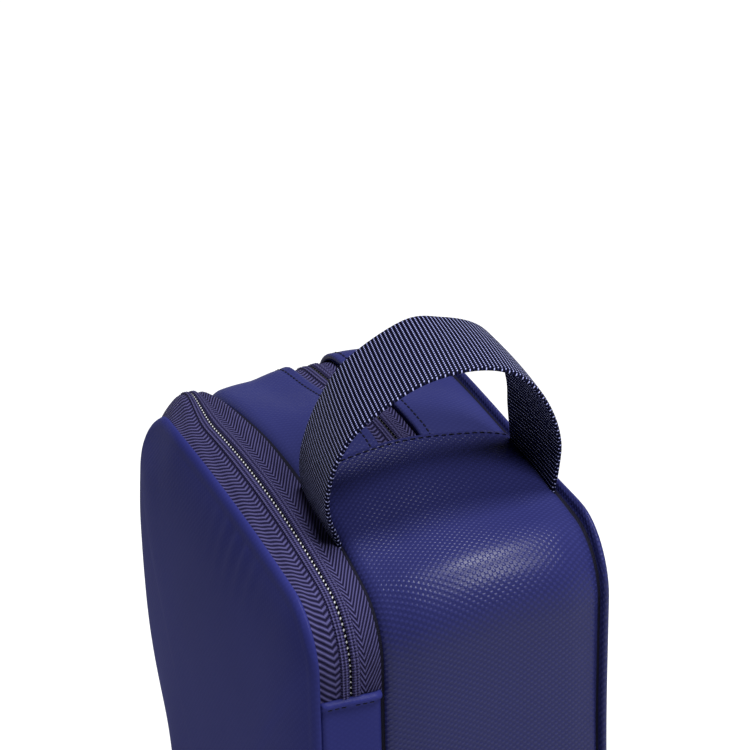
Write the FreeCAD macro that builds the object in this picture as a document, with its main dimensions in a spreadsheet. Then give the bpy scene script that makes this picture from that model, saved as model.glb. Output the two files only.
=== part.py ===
"""Golf shoe bag: a soft upright bag with a zipped door, a zipped side pocket and a webbing handle.

Frame: millimetres, +Z up, origin at the centre of the bag's footprint on the floor.
X runs across the door, Y from the door (-Y) to the back panel (+Y).
The door hinges on a strip of fabric at the +X side; the pocket is on the -X side.
"""
import FreeCAD, Part
import os
from collections import namedtuple

import Sketcher
from FreeCAD import Placement, Rotation, Vector

doc = FreeCAD.newDocument("golf_shoe_bag")

# ---------------------------------------------------------------- driving dimensions

DIMENSIONS = [
    # the bag's envelope, seam to seam
    ("bag_width", 210), ("bag_height", 350), ("bag_depth", 120),
    ("zip_band_depth", 26.25), ("corner_radius", 28),
    ("seam_rise", 19.5), ("edge_rise", 5.6), ("door_drop", 7.5), ("back_drop", 1.0),
    ("puff", 6.0), ("gap", 0.2), ("dome", 5.0), ("dome_reach", 22),
    # cloth, foam and board
    ("gusset_thickness", 2.0), ("panel_thickness", 1.2), ("foam_thickness", 3.0),
    ("lining_thickness", 0.6), ("board_thickness", 2.0), ("foam_inset", 4.2),
    ("welt_thickness", 2.0), ("welt_inset", 0.8), ("welt_depth", 5.0),
    ("binding_thickness", 1.4),
    # panels of the gusset
    ("cross_seam_x", 15), ("cross_seam_gap", 0.8), ("far_seam_z", 118),
    ("pocket_zip_y", 12), ("pocket_zip_width", 18),
    # main zip: tape, coil, and the plain strip between its two ends
    ("tape_inset", 0.4), ("tape_thickness", 0.8), ("coil_gap", 1.2),
    ("coil_width", 2.8), ("coil_height", 1.6), ("zip_end_z", 301), ("hinge_out", 1.0),
    ("strip_thickness", 1.2), ("zip_floor", 1.0),
    # sliders and pullers
    ("slider_length", 20), ("slider_width", 11), ("plate_thickness", 1.6),
    ("plate_lift", 0.3), ("neck_width", 0.9), ("neck_length", 4), ("lip_width", 1.3),
    ("bail_width", 2.4), ("bail_length", 9), ("bail_height", 3.4), ("pin_radius", 0.6),
    ("pull_pivot", 7), ("pull_length", 26), ("pull_width", 8), ("pull_thickness", 1.6),
    ("upper_slider_z", 216), ("lower_slider_z", 193), ("pocket_slider_z", 142),
    # pocket pouch
    ("pouch_bottom_z", 112), ("pouch_top_z", 306), ("pouch_width", 64),
    ("pouch_deep", 17), ("pouch_wall", 1.0),
    # handle
    ("webbing_width", 42), ("webbing_thickness", 2.0), ("handle_x", 41),
    ("handle_pivot_z", 373), ("handle_top_z", 411), ("handle_leg_out", 2.2),
    ("front_root", 14), ("back_root", 6.5),
]

dims = doc.addObject("Spreadsheet::Sheet", "dims")
for row, (alias, number) in enumerate(DIMENSIONS, start=1):
    dims.set(f"A{row}", alias)
    dims.set(f"B{row}", str(number))
    dims.setAlias(f"B{row}", alias)
doc.recompute()


def value(expression):
    """Number that an expression on the sheet stands for."""
    return float(dims.evalExpression(str(expression)))


# ---------------------------------------------------------------- sections of the bag
# A Station is one upright section of the bag: where it stands in Y, how high its crown
# is, how much the crown rises from its shoulders, how far the cloth puffs outward, and
# how far its underside stands off the floor.

Station = namedtuple("Station", "y top rise puff floor")

FRONT_EDGE_Y = "-dims.bag_depth / 2"
BACK_EDGE_Y = "dims.bag_depth / 2"
FRONT_SEAM_Y = "(dims.zip_band_depth - dims.bag_depth / 2)"
ZIP_Y = "((dims.zip_band_depth - dims.bag_depth) / 2)"
HINGE_X = "(dims.bag_width / 2 + dims.hinge_out)"
GUSSET_FRONT_Y = f"({FRONT_SEAM_Y} + dims.welt_thickness / 2 + dims.gap)"
GUSSET_BACK_Y = "(dims.bag_depth / 2 - dims.panel_thickness - dims.welt_thickness - 2 * dims.gap)"


def zip_band_station(y, floor="0"):
    """Section of the zip's band, whose crown grows from the door's edge to the seam."""
    share = f"(({y}) + dims.bag_depth / 2) / dims.zip_band_depth"
    return Station(
        y=y,
        top=f"(dims.bag_height - dims.door_drop * (1 - {share}))",
        rise=f"(dims.edge_rise + (dims.seam_rise - dims.edge_rise) * {share})",
        puff="0",
        floor=floor,
    )


def gusset_station(share, y=None):
    """Section of the gusset; share is 0 at the front seam and 1 at the back seam."""
    bulge = 1 - (2 * share - 1) ** 2
    return Station(
        y=y or f"({GUSSET_FRONT_Y} * {1 - share} + {GUSSET_BACK_Y} * {share})",
        top=f"(dims.bag_height - dims.back_drop * {share} + dims.puff * {bulge})",
        rise=f"(dims.seam_rise + (dims.edge_rise - dims.seam_rise) * {share})",
        puff=f"(dims.puff * {bulge})",
        floor="0",
    )


def back_station(y):
    return gusset_station(1, y)


def origin_plane(body, role):
    return next(f for f in body.Origin.OriginFeatures if f.Role == role)


def new_sketch(body, plane, offset):
    """Sketch on one of the body's own planes, moved along the plane's normal."""
    sketch = body.newObject("Sketcher::SketchObject", "Sketch")
    sketch.AttachmentSupport = (origin_plane(body, plane), [""])
    sketch.MapMode = "FlatFace"
    sketch.AttachmentOffset = Placement(Vector(0, 0, value(offset)), Rotation())
    sketch.setExpression("AttachmentOffset.Base.z", str(offset))
    return sketch


def drive(sketch, constraint, expression):
    """Add a dimensional constraint and bind it to the sheet."""
    index = sketch.addConstraint(constraint)
    sketch.setExpression(f"Constraints[{index}]", expression)


def outline_sketch(body, station, inset):
    """Closed outline of the bag at a station, drawn inward by inset.

    Flat bottom, straight sides, a crowned top and four equal rounded corners.
    """
    sketch = new_sketch(body, "XZ_Plane", f"-({station.y})")
    half_width = f"(dims.bag_width / 2 + {station.puff})"
    crown = f"((({half_width}) ^ 2 + {station.rise} ^ 2) / (2 * {station.rise}) - ({inset}))"
    side = f"({half_width} - ({inset}))"
    top = f"({station.top} - ({inset}))"
    radius = f"(dims.corner_radius - ({inset}))"
    bottom = f"({inset} + {station.floor})"
    w, z1, big, r, z0 = (value(e) for e in (side, top, crown, radius, bottom))
    crown_z = z1 - big
    shoulder_z = crown_z + ((big - r) ** 2 - (w - r) ** 2) ** 0.5
    tangent = Vector(w - r, shoulder_z - crown_z, 0)
    up = Vector(0, 0, 1)
    quarter = 1.5707963267948966
    lean = Vector(1, 0, 0).getAngle(tangent)

    def arc(cx, cz, rad, start, end):
        return Part.ArcOfCircle(Part.Circle(Vector(cx, cz, 0), up, rad), start, end)

    sketch.addGeometry([
        Part.LineSegment(Vector(r - w, z0, 0), Vector(w - r, z0, 0)),
        arc(w - r, z0 + r, r, -quarter, 0),
        Part.LineSegment(Vector(w, z0 + r, 0), Vector(w, shoulder_z, 0)),
        arc(w - r, shoulder_z, r, 0, lean),
        arc(0, crown_z, big, lean, 2 * quarter - lean),
        arc(r - w, shoulder_z, r, 2 * quarter - lean, 2 * quarter),
        Part.LineSegment(Vector(-w, shoulder_z, 0), Vector(-w, z0 + r, 0)),
        arc(r - w, z0 + r, r, 2 * quarter, 3 * quarter),
    ], False)
    join = Sketcher.Constraint
    sketch.addConstraint([
        join("Tangent", 0, 2, 1, 1), join("Tangent", 1, 2, 2, 1), join("Tangent", 2, 2, 3, 1),
        join("Tangent", 3, 2, 4, 1), join("Tangent", 4, 2, 5, 1), join("Tangent", 5, 2, 6, 1),
        join("Tangent", 6, 2, 7, 1), join("Tangent", 7, 2, 0, 1),
        join("Horizontal", 0), join("Vertical", 2), join("Vertical", 6),
        join("Equal", 1, 3), join("Equal", 1, 5), join("Equal", 1, 7),
        join("PointOnObject", 4, 3, -2),
    ])
    drive(sketch, join("Radius", 1, r), radius)
    drive(sketch, join("Radius", 4, big), crown)
    drive(sketch, join("DistanceX", -1, 1, 2, 1, w), side)
    drive(sketch, join("DistanceX", 6, 1, -1, 1, w), side)
    drive(sketch, join("DistanceY", -1, 1, 0, 1, z0), bottom)
    drive(sketch, join("DistanceY", 4, 3, -1, 1, -crown_z), f"{crown} - {top}")
    return sketch


# ---------------------------------------------------------------- building blocks

nodes = []


def new_body(name):
    body = doc.addObject("PartDesign::Body", name)
    body.Label = name
    nodes.append(body)
    return body


def outline_loft(body, kind, stations, inset):
    sketches = [outline_sketch(body, s, inset) for s in stations]
    loft = body.newObject(kind, "Loft")
    loft.Profile = sketches[0]
    loft.Sections = sketches[1:]
    return loft


def outline_band(name, stations, outer_inset, inner_inset):
    """Closed band of cloth that follows the bag's outline between two insets."""
    body = new_body(name)
    outline_loft(body, "PartDesign::AdditiveLoft", stations, outer_inset)
    outline_loft(body, "PartDesign::SubtractiveLoft", stations, inner_inset)
    return body


def outline_plate(name, station, inset, thickness):
    """Flat panel of the bag's outline; the station's y is the plate's +Y face."""
    body = new_body(name)
    pad = body.newObject("PartDesign::Pad", "Pad")
    pad.Profile = outline_sketch(body, station, inset)
    pad.Length = value(thickness)
    pad.setExpression("Length", thickness)
    return body


def box(body, kind, low, high):
    """Box feature between two corners given as expressions."""
    feature = body.newObject(kind, "Box")
    for size, axis, a, b in zip(("Length", "Width", "Height"), "xyz", low, high):
        setattr(feature, size, value(f"({b}) - ({a})"))
        feature.setExpression(size, f"({b}) - ({a})")
        feature.setExpression(f"Placement.Base.{axis}", str(a))
    return feature


def add_box(body, low, high):
    return box(body, "PartDesign::AdditiveBox", low, high)


def cut_box(body, low, high):
    return box(body, "PartDesign::SubtractiveBox", low, high)


def cylinder(body, kind, axis, centre, radius, length):
    """Cylinder feature along a body axis, centred on a point given as expressions."""
    turn = {"x": Rotation(Vector(0, 1, 0), 90), "y": Rotation(Vector(1, 0, 0), -90),
            "z": Rotation()}[axis]
    feature = body.newObject(kind, "Cylinder")
    feature.Radius = value(radius)
    feature.Height = value(length)
    feature.Placement = Placement(Vector(), turn)
    feature.setExpression("Radius", radius)
    feature.setExpression("Height", length)
    for name, place in zip("xyz", centre):
        start = f"({place}) - ({length}) / 2" if name == axis else f"({place})"
        feature.setExpression(f"Placement.Base.{name}", start)
    return feature


FAR = "(dims.bag_width + 100)"
LOW = f"(-{FAR})"
BELOW = "(-50)"
ABOVE = "(dims.bag_height + 200)"


def cut_away(body, x=(LOW, FAR), y=(LOW, FAR), z=(BELOW, ABOVE)):
    """Remove everything within the given limits; a limit left out reaches past the bag."""
    cut_box(body, (x[0], y[0], z[0]), (x[1], y[1], z[1]))


# ---------------------------------------------------------------- gusset and back

GUSSET_SHARES = (0, 0.25, 0.5, 0.75, 1)
MID_HEIGHT = "dims.bag_height / 2"
BASE_END = "(dims.bag_width / 2 - dims.corner_radius)"
CROSS_SEAM_RIGHT = "(dims.cross_seam_x + dims.cross_seam_gap / 2)"
CROSS_SEAM_LEFT = "(dims.cross_seam_x - dims.cross_seam_gap / 2)"
POCKET_FOLD_FRONT = "(dims.pocket_zip_y - dims.pocket_zip_width / 2)"
POCKET_FOLD_BACK = "(dims.pocket_zip_y + dims.pocket_zip_width / 2)"
LINING_OUT = "(dims.gusset_thickness + dims.gap)"
LINING_IN = f"({LINING_OUT} + dims.lining_thickness)"


def gusset_band(name, outer_inset="0", inner_inset="dims.gusset_thickness"):
    """Band of the whole gusset, puffed between its front and back seams."""
    stations = [gusset_station(share) for share in GUSSET_SHARES]
    return outline_band(name, stations, outer_inset, inner_inset)


def side_panel_near():
    """From the cross seam over the near shoulder and down to the base."""
    panel = gusset_band("side_panel_near")
    cut_away(panel, x=(LOW, CROSS_SEAM_RIGHT))
    cut_away(panel, x=(LOW, BASE_END), z=(BELOW, MID_HEIGHT))


def zip_panels():
    """Two strips beside the pocket's zip, from the cross seam over to the far side."""
    for name, away in (("zip_panel_front", (POCKET_FOLD_FRONT, FAR)),
                       ("zip_panel_back", (LOW, POCKET_FOLD_BACK))):
        strip = gusset_band(name)
        cut_away(strip, x=(CROSS_SEAM_LEFT, FAR))
        cut_away(strip, z=(BELOW, "dims.far_seam_z"))
        cut_away(strip, y=away)


def side_panel_far_lower():
    panel = gusset_band("side_panel_far_lower")
    cut_away(panel, z=("dims.far_seam_z - dims.cross_seam_gap", ABOVE))
    cut_away(panel, x=(f"-{BASE_END}", FAR))


def base_panel():
    """Underside between the corners, trimmed to a true plane on the floor."""
    panel = gusset_band("base_panel", "-0.05")
    cut_away(panel, z=(BELOW, "0"))
    cut_away(panel, z=("dims.corner_radius", ABOVE))
    cut_away(panel, x=(LOW, f"dims.gap - {BASE_END}"))
    cut_away(panel, x=(f"{BASE_END} - dims.gap", FAR))


def gusset_lining():
    """Lining of the gusset, with a slot behind the pocket's zip."""
    lining = gusset_band("gusset_lining", LINING_OUT, LINING_IN)
    slot = "(dims.pocket_zip_width / 2 + 8)"
    cut_away(lining, x=(LOW, "dims.cross_seam_x + 1"),
             y=(f"dims.pocket_zip_y - {slot}", f"dims.pocket_zip_y + {slot}"),
             z=("dims.far_seam_z - 12", ABOVE))


def back_wall():
    """Back panel with its foam and lining, flat against each other inside the welt."""
    inner = "(dims.welt_inset + dims.welt_depth + 0.4)"
    back_face = f"({BACK_EDGE_Y})"
    outline_plate("back_panel", back_station(back_face), "0", "dims.panel_thickness")
    foam_face = f"({BACK_EDGE_Y} - dims.panel_thickness - dims.gap)"
    outline_plate("back_foam", back_station(foam_face), inner, "dims.foam_thickness")
    lining_face = f"({foam_face} - dims.foam_thickness - dims.gap)"
    outline_plate("back_lining", back_station(lining_face), inner, "dims.lining_thickness")


def base_board():
    """Stiff board that keeps the floor of the bag flat."""
    board = new_body("base_board")
    floor = f"({LINING_IN} + dims.gap)"
    edge = "(dims.welt_depth + 5)"
    add_box(board, (f"2 - {BASE_END}", f"{GUSSET_FRONT_Y} + {edge}", floor),
            (f"{BASE_END} - 2", f"{GUSSET_BACK_Y} - {edge}", f"{floor} + dims.board_thickness"))


def seam_ring(name, station, half_width):
    """Welt of turned-in cloth that stands in a seam, cut away where the webbing enters."""
    near = station(f"{half_width[0]}")
    far = station(f"{half_width[1]}")
    welt = outline_band(name, [near, far], "dims.welt_inset", "dims.welt_inset + dims.welt_depth")
    half = "(dims.webbing_width / 2 + dims.gap)"
    cut_away(welt, x=(f"dims.handle_x - {half}", f"dims.handle_x + {half}"),
             z=(MID_HEIGHT, ABOVE))


FRONT_WELT = (f"({FRONT_SEAM_Y} - dims.welt_thickness / 2)",
              f"({FRONT_SEAM_Y} + dims.welt_thickness / 2)")
BACK_WELT = (f"({GUSSET_BACK_Y} + dims.gap)",
             f"({GUSSET_BACK_Y} + dims.gap + dims.welt_thickness)")


def seams():
    """Welts in the two seams, and the binding that covers each seam inside the bag."""
    seam_ring("front_seam_welt", lambda y: gusset_station(0, y), FRONT_WELT)
    seam_ring("back_seam_welt", back_station, BACK_WELT)
    outer = f"({LINING_IN} + 0.6)"
    inner = f"({outer} + dims.binding_thickness)"
    for name, shares in (("front_seam_binding", (0.02, 0.10)), ("back_seam_binding", (0.90, 0.98))):
        outline_band(name, [gusset_station(share) for share in shares], outer, inner)


# ---------------------------------------------------------------- main zip and the door

ZIP_LOW_END = "(dims.bag_height - dims.zip_end_z)"
ZIP_HIGH_END = "dims.zip_end_z"
TAPE_INNER = "(dims.tape_inset + dims.tape_thickness)"
BAND_FRONT_Y = f"({FRONT_EDGE_Y} + dims.panel_thickness + dims.gap)"
BAND_BACK_Y = f"({FRONT_WELT[0]} - dims.gap)"


def zip_ring(name, low_y, high_y, outer_inset, inner_inset):
    """Band of the main zip: round the top, the far side and the bottom, open at the hinge."""
    stations = [zip_band_station(y, "dims.zip_floor") for y in (low_y, high_y)]
    ring = outline_band(name, stations, outer_inset, inner_inset)
    cut_away(ring, x=("0", FAR), z=(ZIP_LOW_END, ZIP_HIGH_END))


def main_zip():
    """Tapes either side of the zip's centre line, with the coil on their inner side."""
    half_gap = "dims.coil_gap / 2"
    coil_out = f"({TAPE_INNER} + 0.05)"
    coil_in = f"({TAPE_INNER} + dims.coil_height)"
    body_edge = f"({ZIP_Y} + {half_gap})"
    door_edge = f"({ZIP_Y} - {half_gap})"
    zip_ring("zip_tape_body", body_edge, BAND_BACK_Y, "dims.tape_inset", TAPE_INNER)
    zip_ring("zip_tape_door", BAND_FRONT_Y, door_edge, "dims.tape_inset", TAPE_INNER)
    zip_ring("zip_coil_body", body_edge, f"({body_edge} + dims.coil_width)", coil_out, coil_in)
    zip_ring("zip_coil_door", f"({door_edge} - dims.coil_width)", door_edge, coil_out, coil_in)


def hinge_strips():
    """Plain cloth between the zip's ends, which bends where the door hinges."""
    for name, low_y, high_y in (
            ("hinge_strip_body", f"({ZIP_Y} + 0.3)", BAND_BACK_Y),
            ("hinge_strip_door", BAND_FRONT_Y, f"({ZIP_Y} - 0.3)")):
        strip = outline_band(name, [zip_band_station(low_y), zip_band_station(high_y)],
                             "dims.gap", "dims.gap + dims.strip_thickness")
        cut_away(strip, x=(LOW, "0"))
        cut_away(strip, z=(BELOW, f"{ZIP_LOW_END} + dims.gap"))
        cut_away(strip, z=(f"{ZIP_HIGH_END} - dims.gap", ABOVE))


def domed_sections(edge_y, edge_inset, lift):
    """Sections of a shallow dome: an upright rim, then a crowned face; (y, inset) pairs."""
    sections = [(edge_y, edge_inset)]
    for rise, share in ((0, 0), (0.6, 0.4), (1, 1)):
        sections.append((f"({FRONT_EDGE_Y} + {lift} - dims.dome * {rise})",
                         f"({edge_inset} + dims.dome_reach * {share})"))
    return sections


def domed_loft(body, kind, sections):
    """Loft through sections that differ in their inset as well as in their y."""
    sketches = [outline_sketch(body, door_station(y), inset) for y, inset in sections]
    loft = body.newObject(kind, "Loft")
    loft.Profile = sketches[0]
    loft.Sections = sketches[1:]


def door_station(y):
    """Section of the door's own edge, which keeps one outline through its thickness."""
    return zip_band_station(FRONT_EDGE_Y)._replace(y=y)


def door():
    """Domed front panel, its foam, stiffener and lining, and the inner edge's binding."""
    rim = f"({FRONT_EDGE_Y} + dims.panel_thickness)"
    panel = new_body("front_panel")
    domed_loft(panel, "PartDesign::AdditiveLoft", domed_sections(rim, "0", "0"))
    inside = domed_sections(rim, "dims.panel_thickness", "0.6 * dims.panel_thickness")
    domed_loft(panel, "PartDesign::SubtractiveLoft", inside)
    foam = new_body("front_foam")
    foam_back = f"({rim} + dims.gap + dims.foam_thickness)"
    domed_loft(foam, "PartDesign::AdditiveLoft",
               domed_sections(foam_back, "dims.foam_inset", "1.4 * dims.panel_thickness"))
    face = foam_back
    for name, thickness in (("front_stiffener", "dims.board_thickness / 2"),
                            ("front_lining", "dims.lining_thickness")):
        face = f"({face} + dims.gap + {thickness})"
        outline_plate(name, zip_band_station(face), "dims.foam_inset", thickness)
    outer = f"({TAPE_INNER} + 0.3)"
    edges = [zip_band_station(y, "dims.zip_floor") for y in (BAND_FRONT_Y, f"({BAND_FRONT_Y} + 5)")]
    outline_band("front_panel_binding", edges, outer, f"({outer} + dims.binding_thickness - 0.2)")


# ---------------------------------------------------------------- pocket in the far side

def pocket_ring(name, low_y, high_y, outer_inset, inner_inset):
    """Strip of the pocket's zip, from the cross seam over the far shoulder and down."""
    stations = [gusset_station(share) for share in GUSSET_SHARES]
    strip = outline_band(name, stations, outer_inset, inner_inset)
    cut_away(strip, y=(LOW, low_y))
    cut_away(strip, y=(high_y, FAR))
    cut_away(strip, x=(CROSS_SEAM_LEFT, FAR))
    cut_away(strip, z=(BELOW, "dims.far_seam_z - 8"))


def pocket_zip():
    """Tapes under the panels' folded edges, with the coil on the tapes' inner side."""
    half_gap = "dims.coil_gap / 2"
    tape_out = LINING_OUT
    tape_in = f"({tape_out} + dims.tape_thickness)"
    coil_out = f"({tape_in} + 0.05)"
    coil_in = f"({tape_in} + dims.coil_height)"
    reach = "(dims.pocket_zip_width / 2 + 7)"
    front_edge = f"(dims.pocket_zip_y - {half_gap})"
    back_edge = f"(dims.pocket_zip_y + {half_gap})"
    pocket_ring("pocket_tape_front", f"dims.pocket_zip_y - {reach}", front_edge, tape_out, tape_in)
    pocket_ring("pocket_tape_back", back_edge, f"dims.pocket_zip_y + {reach}", tape_out, tape_in)
    pocket_ring("pocket_coil_front", f"{front_edge} - dims.coil_width", front_edge,
                coil_out, coil_in)
    pocket_ring("pocket_coil_back", back_edge, f"{back_edge} + dims.coil_width",
                coil_out, coil_in)


def pocket_pouch():
    """Flat pouch inside the far side, open along the pocket's zip."""
    pouch = new_body("pocket_pouch")
    face = "(dims.gap - dims.bag_width / 2)"
    half = "(dims.pouch_width / 2)"
    wall = "dims.pouch_wall"
    add_box(pouch, (face, f"dims.pocket_zip_y - {half}", "dims.pouch_bottom_z"),
            (f"{face} + dims.pouch_deep", f"dims.pocket_zip_y + {half}", "dims.pouch_top_z"))
    cut_box(pouch, (f"{face} + {wall}", f"dims.pocket_zip_y - {half} + {wall}",
                    f"dims.pouch_bottom_z + {wall}"),
            (f"{face} + dims.pouch_deep - {wall}", f"dims.pocket_zip_y + {half} - {wall}",
             f"dims.pouch_top_z - {wall}"))
    cut_box(pouch, (f"{face} - 1", f"{POCKET_FOLD_FRONT} + 0.5", "dims.far_seam_z - 2"),
            (f"{face} + 2 * {wall}", f"{POCKET_FOLD_BACK} - 0.5", "dims.pouch_top_z - 4"))


# ---------------------------------------------------------------- sliders and pullers
# Each is drawn lying on its tape: local x runs along the zip with the divider at -x,
# local z points out of the tape, and z = 0 is the tape's outer face.

ON_FAR_SIDE = Rotation(Vector(0, 1, 0), -90)
TURNED_ROUND = ON_FAR_SIDE * Rotation(Vector(0, 0, 1), 180)
MAIN_TAPE_X = "(dims.tape_inset - dims.bag_width / 2)"
POCKET_TAPE_X = f"({LINING_OUT} - dims.bag_width / 2 - dims.puff)"
OUTER_PLATE = "dims.plate_lift"
INNER_PLATE = "-(dims.tape_thickness + dims.coil_height + 0.4)"
PIVOT_RISE = "(dims.plate_lift + dims.plate_thickness + 1)"


def place(body, rotation, x, y, z):
    body.Placement = Placement(Vector(value(x), value(y), value(z)), rotation)
    for axis, expression in zip("xyz", (x, y, z)):
        body.setExpression(f"Placement.Base.{axis}", expression)


def round_upright_edges(body, radius, keep=lambda edge: True):
    """Fillet the body's straight edges that run along local z."""
    doc.recompute()
    tip = body.Tip
    names = []
    for index, edge in enumerate(tip.Shape.Edges, start=1):
        ends = [v.Point for v in edge.Vertexes]
        if len(ends) == 2 and (ends[0] - ends[1]).cross(Vector(0, 0, 1)).Length < 1e-6:
            if keep(edge):
                names.append(f"Edge{index}")
    fillet = body.newObject("PartDesign::Fillet", "Fillet")
    fillet.Base = (tip, names)
    fillet.Radius = radius


def slider(name, rotation, x, y, z):
    """Zip slider: two plates joined by the divider, side lips, and a bail for the puller."""
    upper, lower = OUTER_PLATE, INNER_PLATE
    half_length, half_width = "dims.slider_length / 2", "dims.slider_width / 2"
    thick = "dims.plate_thickness"
    body = new_body(name)
    add_box(body, (f"-{half_length}", f"-{half_width}", upper),
            (half_length, half_width, f"{upper} + {thick}"))
    round_upright_edges(body, 3.5)
    add_box(body, (f"-{half_length} + 1", "-dims.neck_width / 2", f"{lower} - 0.2"),
            (f"-{half_length} + 1 + dims.neck_length", "dims.neck_width / 2", f"{upper} + 0.2"))
    add_box(body, (f"-{half_length}", f"-{half_width}", f"{lower} - {thick}"),
            (half_length, half_width, lower))
    round_upright_edges(body, 3.4, lambda edge: edge.BoundBox.ZMax < 0
                        and abs(edge.BoundBox.YMax) > value(half_width) - 0.1)
    for low, high in ((f"-{half_width}", f"dims.lip_width - {half_width}"),
                      (f"{half_width} - dims.lip_width", half_width)):
        add_box(body, (f"4 - {half_length}", low, lower),
                (f"{half_length} - 4", high, "-(dims.tape_thickness + 0.3)"))
    bail_x = "dims.pull_pivot"
    top = f"({upper} + {thick})"
    half_bail = "dims.bail_length / 2"
    add_box(body, (f"{bail_x} - {half_bail}", "-dims.bail_width / 2", f"{top} - 0.2"),
            (f"{bail_x} + {half_bail}", "dims.bail_width / 2", f"{top} + dims.bail_height"))
    cut_box(body, (f"{bail_x} - {half_bail} + 1.5", "-dims.bail_width", top),
            (f"{bail_x} + {half_bail} - 1.5", "dims.bail_width", f"{top} + 2"))
    place(body, rotation, x, y, z)


def puller(name, x, y, z):
    """Pull tab on its pin: local origin on the pin, the tab hanging towards -x."""
    body = new_body(name)
    arm_in, arm_out = "(dims.bail_width / 2 + 0.8)", "(dims.bail_width / 2 + 2)"
    web = "7.5"
    half_width = "dims.pull_width / 2"
    half_thick = "dims.pull_thickness / 2"
    add_box(body, ("-dims.pull_length", f"-{half_width}", f"-{half_thick}"),
            (f"-{web}", half_width, half_thick))
    round_upright_edges(body, 2.2)
    for low, high in ((f"-{arm_out}", f"-{arm_in}"), (arm_in, arm_out)):
        add_box(body, (f"-{web} - 1", low, "-dims.pin_radius"),
                ("dims.pin_radius", high, "dims.pin_radius"))
    cylinder(body, "PartDesign::AdditiveCylinder", "y", ("0", "0", "0"), "dims.pin_radius",
             f"2 * {arm_out} - 0.2")
    cylinder(body, "PartDesign::SubtractiveCylinder", "z",
             ("3.6 - dims.pull_length", "0", "0"), "1.6", "10")
    place(body, ON_FAR_SIDE, x, y, z)


def sliders():
    """Two sliders meet on the far side of the main zip; one closes the pocket."""
    for name, z, turn, side in (("upper", "dims.upper_slider_z", ON_FAR_SIDE, 1),
                                ("lower", "dims.lower_slider_z", TURNED_ROUND, -1)):
        slider(f"zip_slider_{name}", turn, MAIN_TAPE_X, ZIP_Y, z)
        puller(f"zip_pull_{name}", f"{MAIN_TAPE_X} - {PIVOT_RISE}", ZIP_Y,
               f"{z} + {side} * dims.pull_pivot")
    slider("pocket_slider", ON_FAR_SIDE, POCKET_TAPE_X, "dims.pocket_zip_y",
           "dims.pocket_slider_z")
    puller("pocket_pull", f"{POCKET_TAPE_X} - {PIVOT_RISE}", "dims.pocket_zip_y",
           "dims.pocket_slider_z + dims.pull_pivot")


# ---------------------------------------------------------------- handle

def handle_roots():
    """Ends of the webbing, sewn into the front and back seams."""
    half = "dims.webbing_width / 2"
    for name, (low_y, high_y), depth in (("handle_root_front", FRONT_WELT, "dims.front_root"),
                                         ("handle_root_back", BACK_WELT, "dims.back_root")):
        root = new_body(name)
        add_box(root, (f"dims.handle_x - {half}", low_y, f"dims.bag_height - {depth}"),
                (f"dims.handle_x + {half}", high_y, "dims.bag_height + 0.6"))


def arch_path(sketch, span, rise, side_radius, thickness, leg_low, leg_high, centre):
    """Closed outline of a strap that runs up one leg, over a three-centred arch and down."""
    a, b, r = span / 2, rise, side_radius
    drop = ((a - r) ** 2 - (b - r) ** 2) / (2 * (b - r))
    crown = b + drop
    lean = Vector(1, 0, 0).getAngle(Vector(a - r, drop, 0))
    up = Vector(0, 0, 1)
    half_turn = 3.141592653589793
    geometry = []
    for offset in (thickness / 2, -thickness / 2):
        right = Vector(centre + a - r, leg_high, 0)
        left = Vector(centre - a + r, leg_high, 0)
        middle = Vector(centre, leg_high - drop, 0)
        outer = a + offset
        geometry.append([
            Part.LineSegment(Vector(centre + outer, leg_low, 0), Vector(centre + outer, leg_high, 0)),
            Part.ArcOfCircle(Part.Circle(right, up, r + offset), 0, lean),
            Part.ArcOfCircle(Part.Circle(middle, up, crown + offset), lean, half_turn - lean),
            Part.ArcOfCircle(Part.Circle(left, up, r + offset), half_turn - lean, half_turn),
            Part.LineSegment(Vector(centre - outer, leg_high, 0), Vector(centre - outer, leg_low, 0)),
        ])
    outer_curve, inner_curve = geometry
    close = [Part.LineSegment(outer_curve[0].StartPoint, inner_curve[0].StartPoint),
             Part.LineSegment(outer_curve[4].EndPoint, inner_curve[4].EndPoint)]
    sketch.addGeometry(outer_curve + inner_curve + close, False)


HANDLE_FRONT_Y = f"({FRONT_SEAM_Y} - dims.handle_leg_out)"
HANDLE_BACK_Y = f"(({BACK_WELT[0]} + {BACK_WELT[1]}) / 2 + dims.handle_leg_out)"
HANDLE_MIDDLE_Y = f"(({HANDLE_FRONT_Y} + {HANDLE_BACK_Y}) / 2)"


def handle():
    """Webbing arch from seam to seam; it leans to either side about its two roots."""
    body = new_body("handle_webbing")
    sketch = new_sketch(body, "YZ_Plane", "dims.handle_x")
    front, back = value(HANDLE_FRONT_Y), value(HANDLE_BACK_Y)
    pivot_z = value("dims.handle_pivot_z")
    thickness = value("dims.webbing_thickness")
    arch_path(sketch, span=back - front, rise=value("dims.handle_top_z") - thickness / 2 - pivot_z,
              side_radius=28, thickness=thickness,
              leg_low=pivot_z - value("dims.webbing_width") / 2, leg_high=pivot_z,
              centre=value(HANDLE_MIDDLE_Y))
    pad = body.newObject("PartDesign::Pad", "Pad")
    pad.Profile = sketch
    pad.SideType = "Symmetric"
    pad.Length = value("dims.webbing_width")
    pad.setExpression("Length", "dims.webbing_width")
    doc.recompute()
    low = pad.Shape.BoundBox.ZMin
    names = [f"Edge{i}" for i, edge in enumerate(pad.Shape.Edges, start=1)
             if edge.BoundBox.ZMax < low + 1e-3 and edge.BoundBox.YLength > 1e-3
             and edge.BoundBox.XLength < 1e-3]
    fillet = body.newObject("PartDesign::Fillet", "Fillet")
    fillet.Base = (pad, names)
    fillet.Radius = value("dims.webbing_width / 2 - 0.1")
    fillet.setExpression("Radius", "dims.webbing_width / 2 - 0.1")


# ---------------------------------------------------------------- joints

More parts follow.
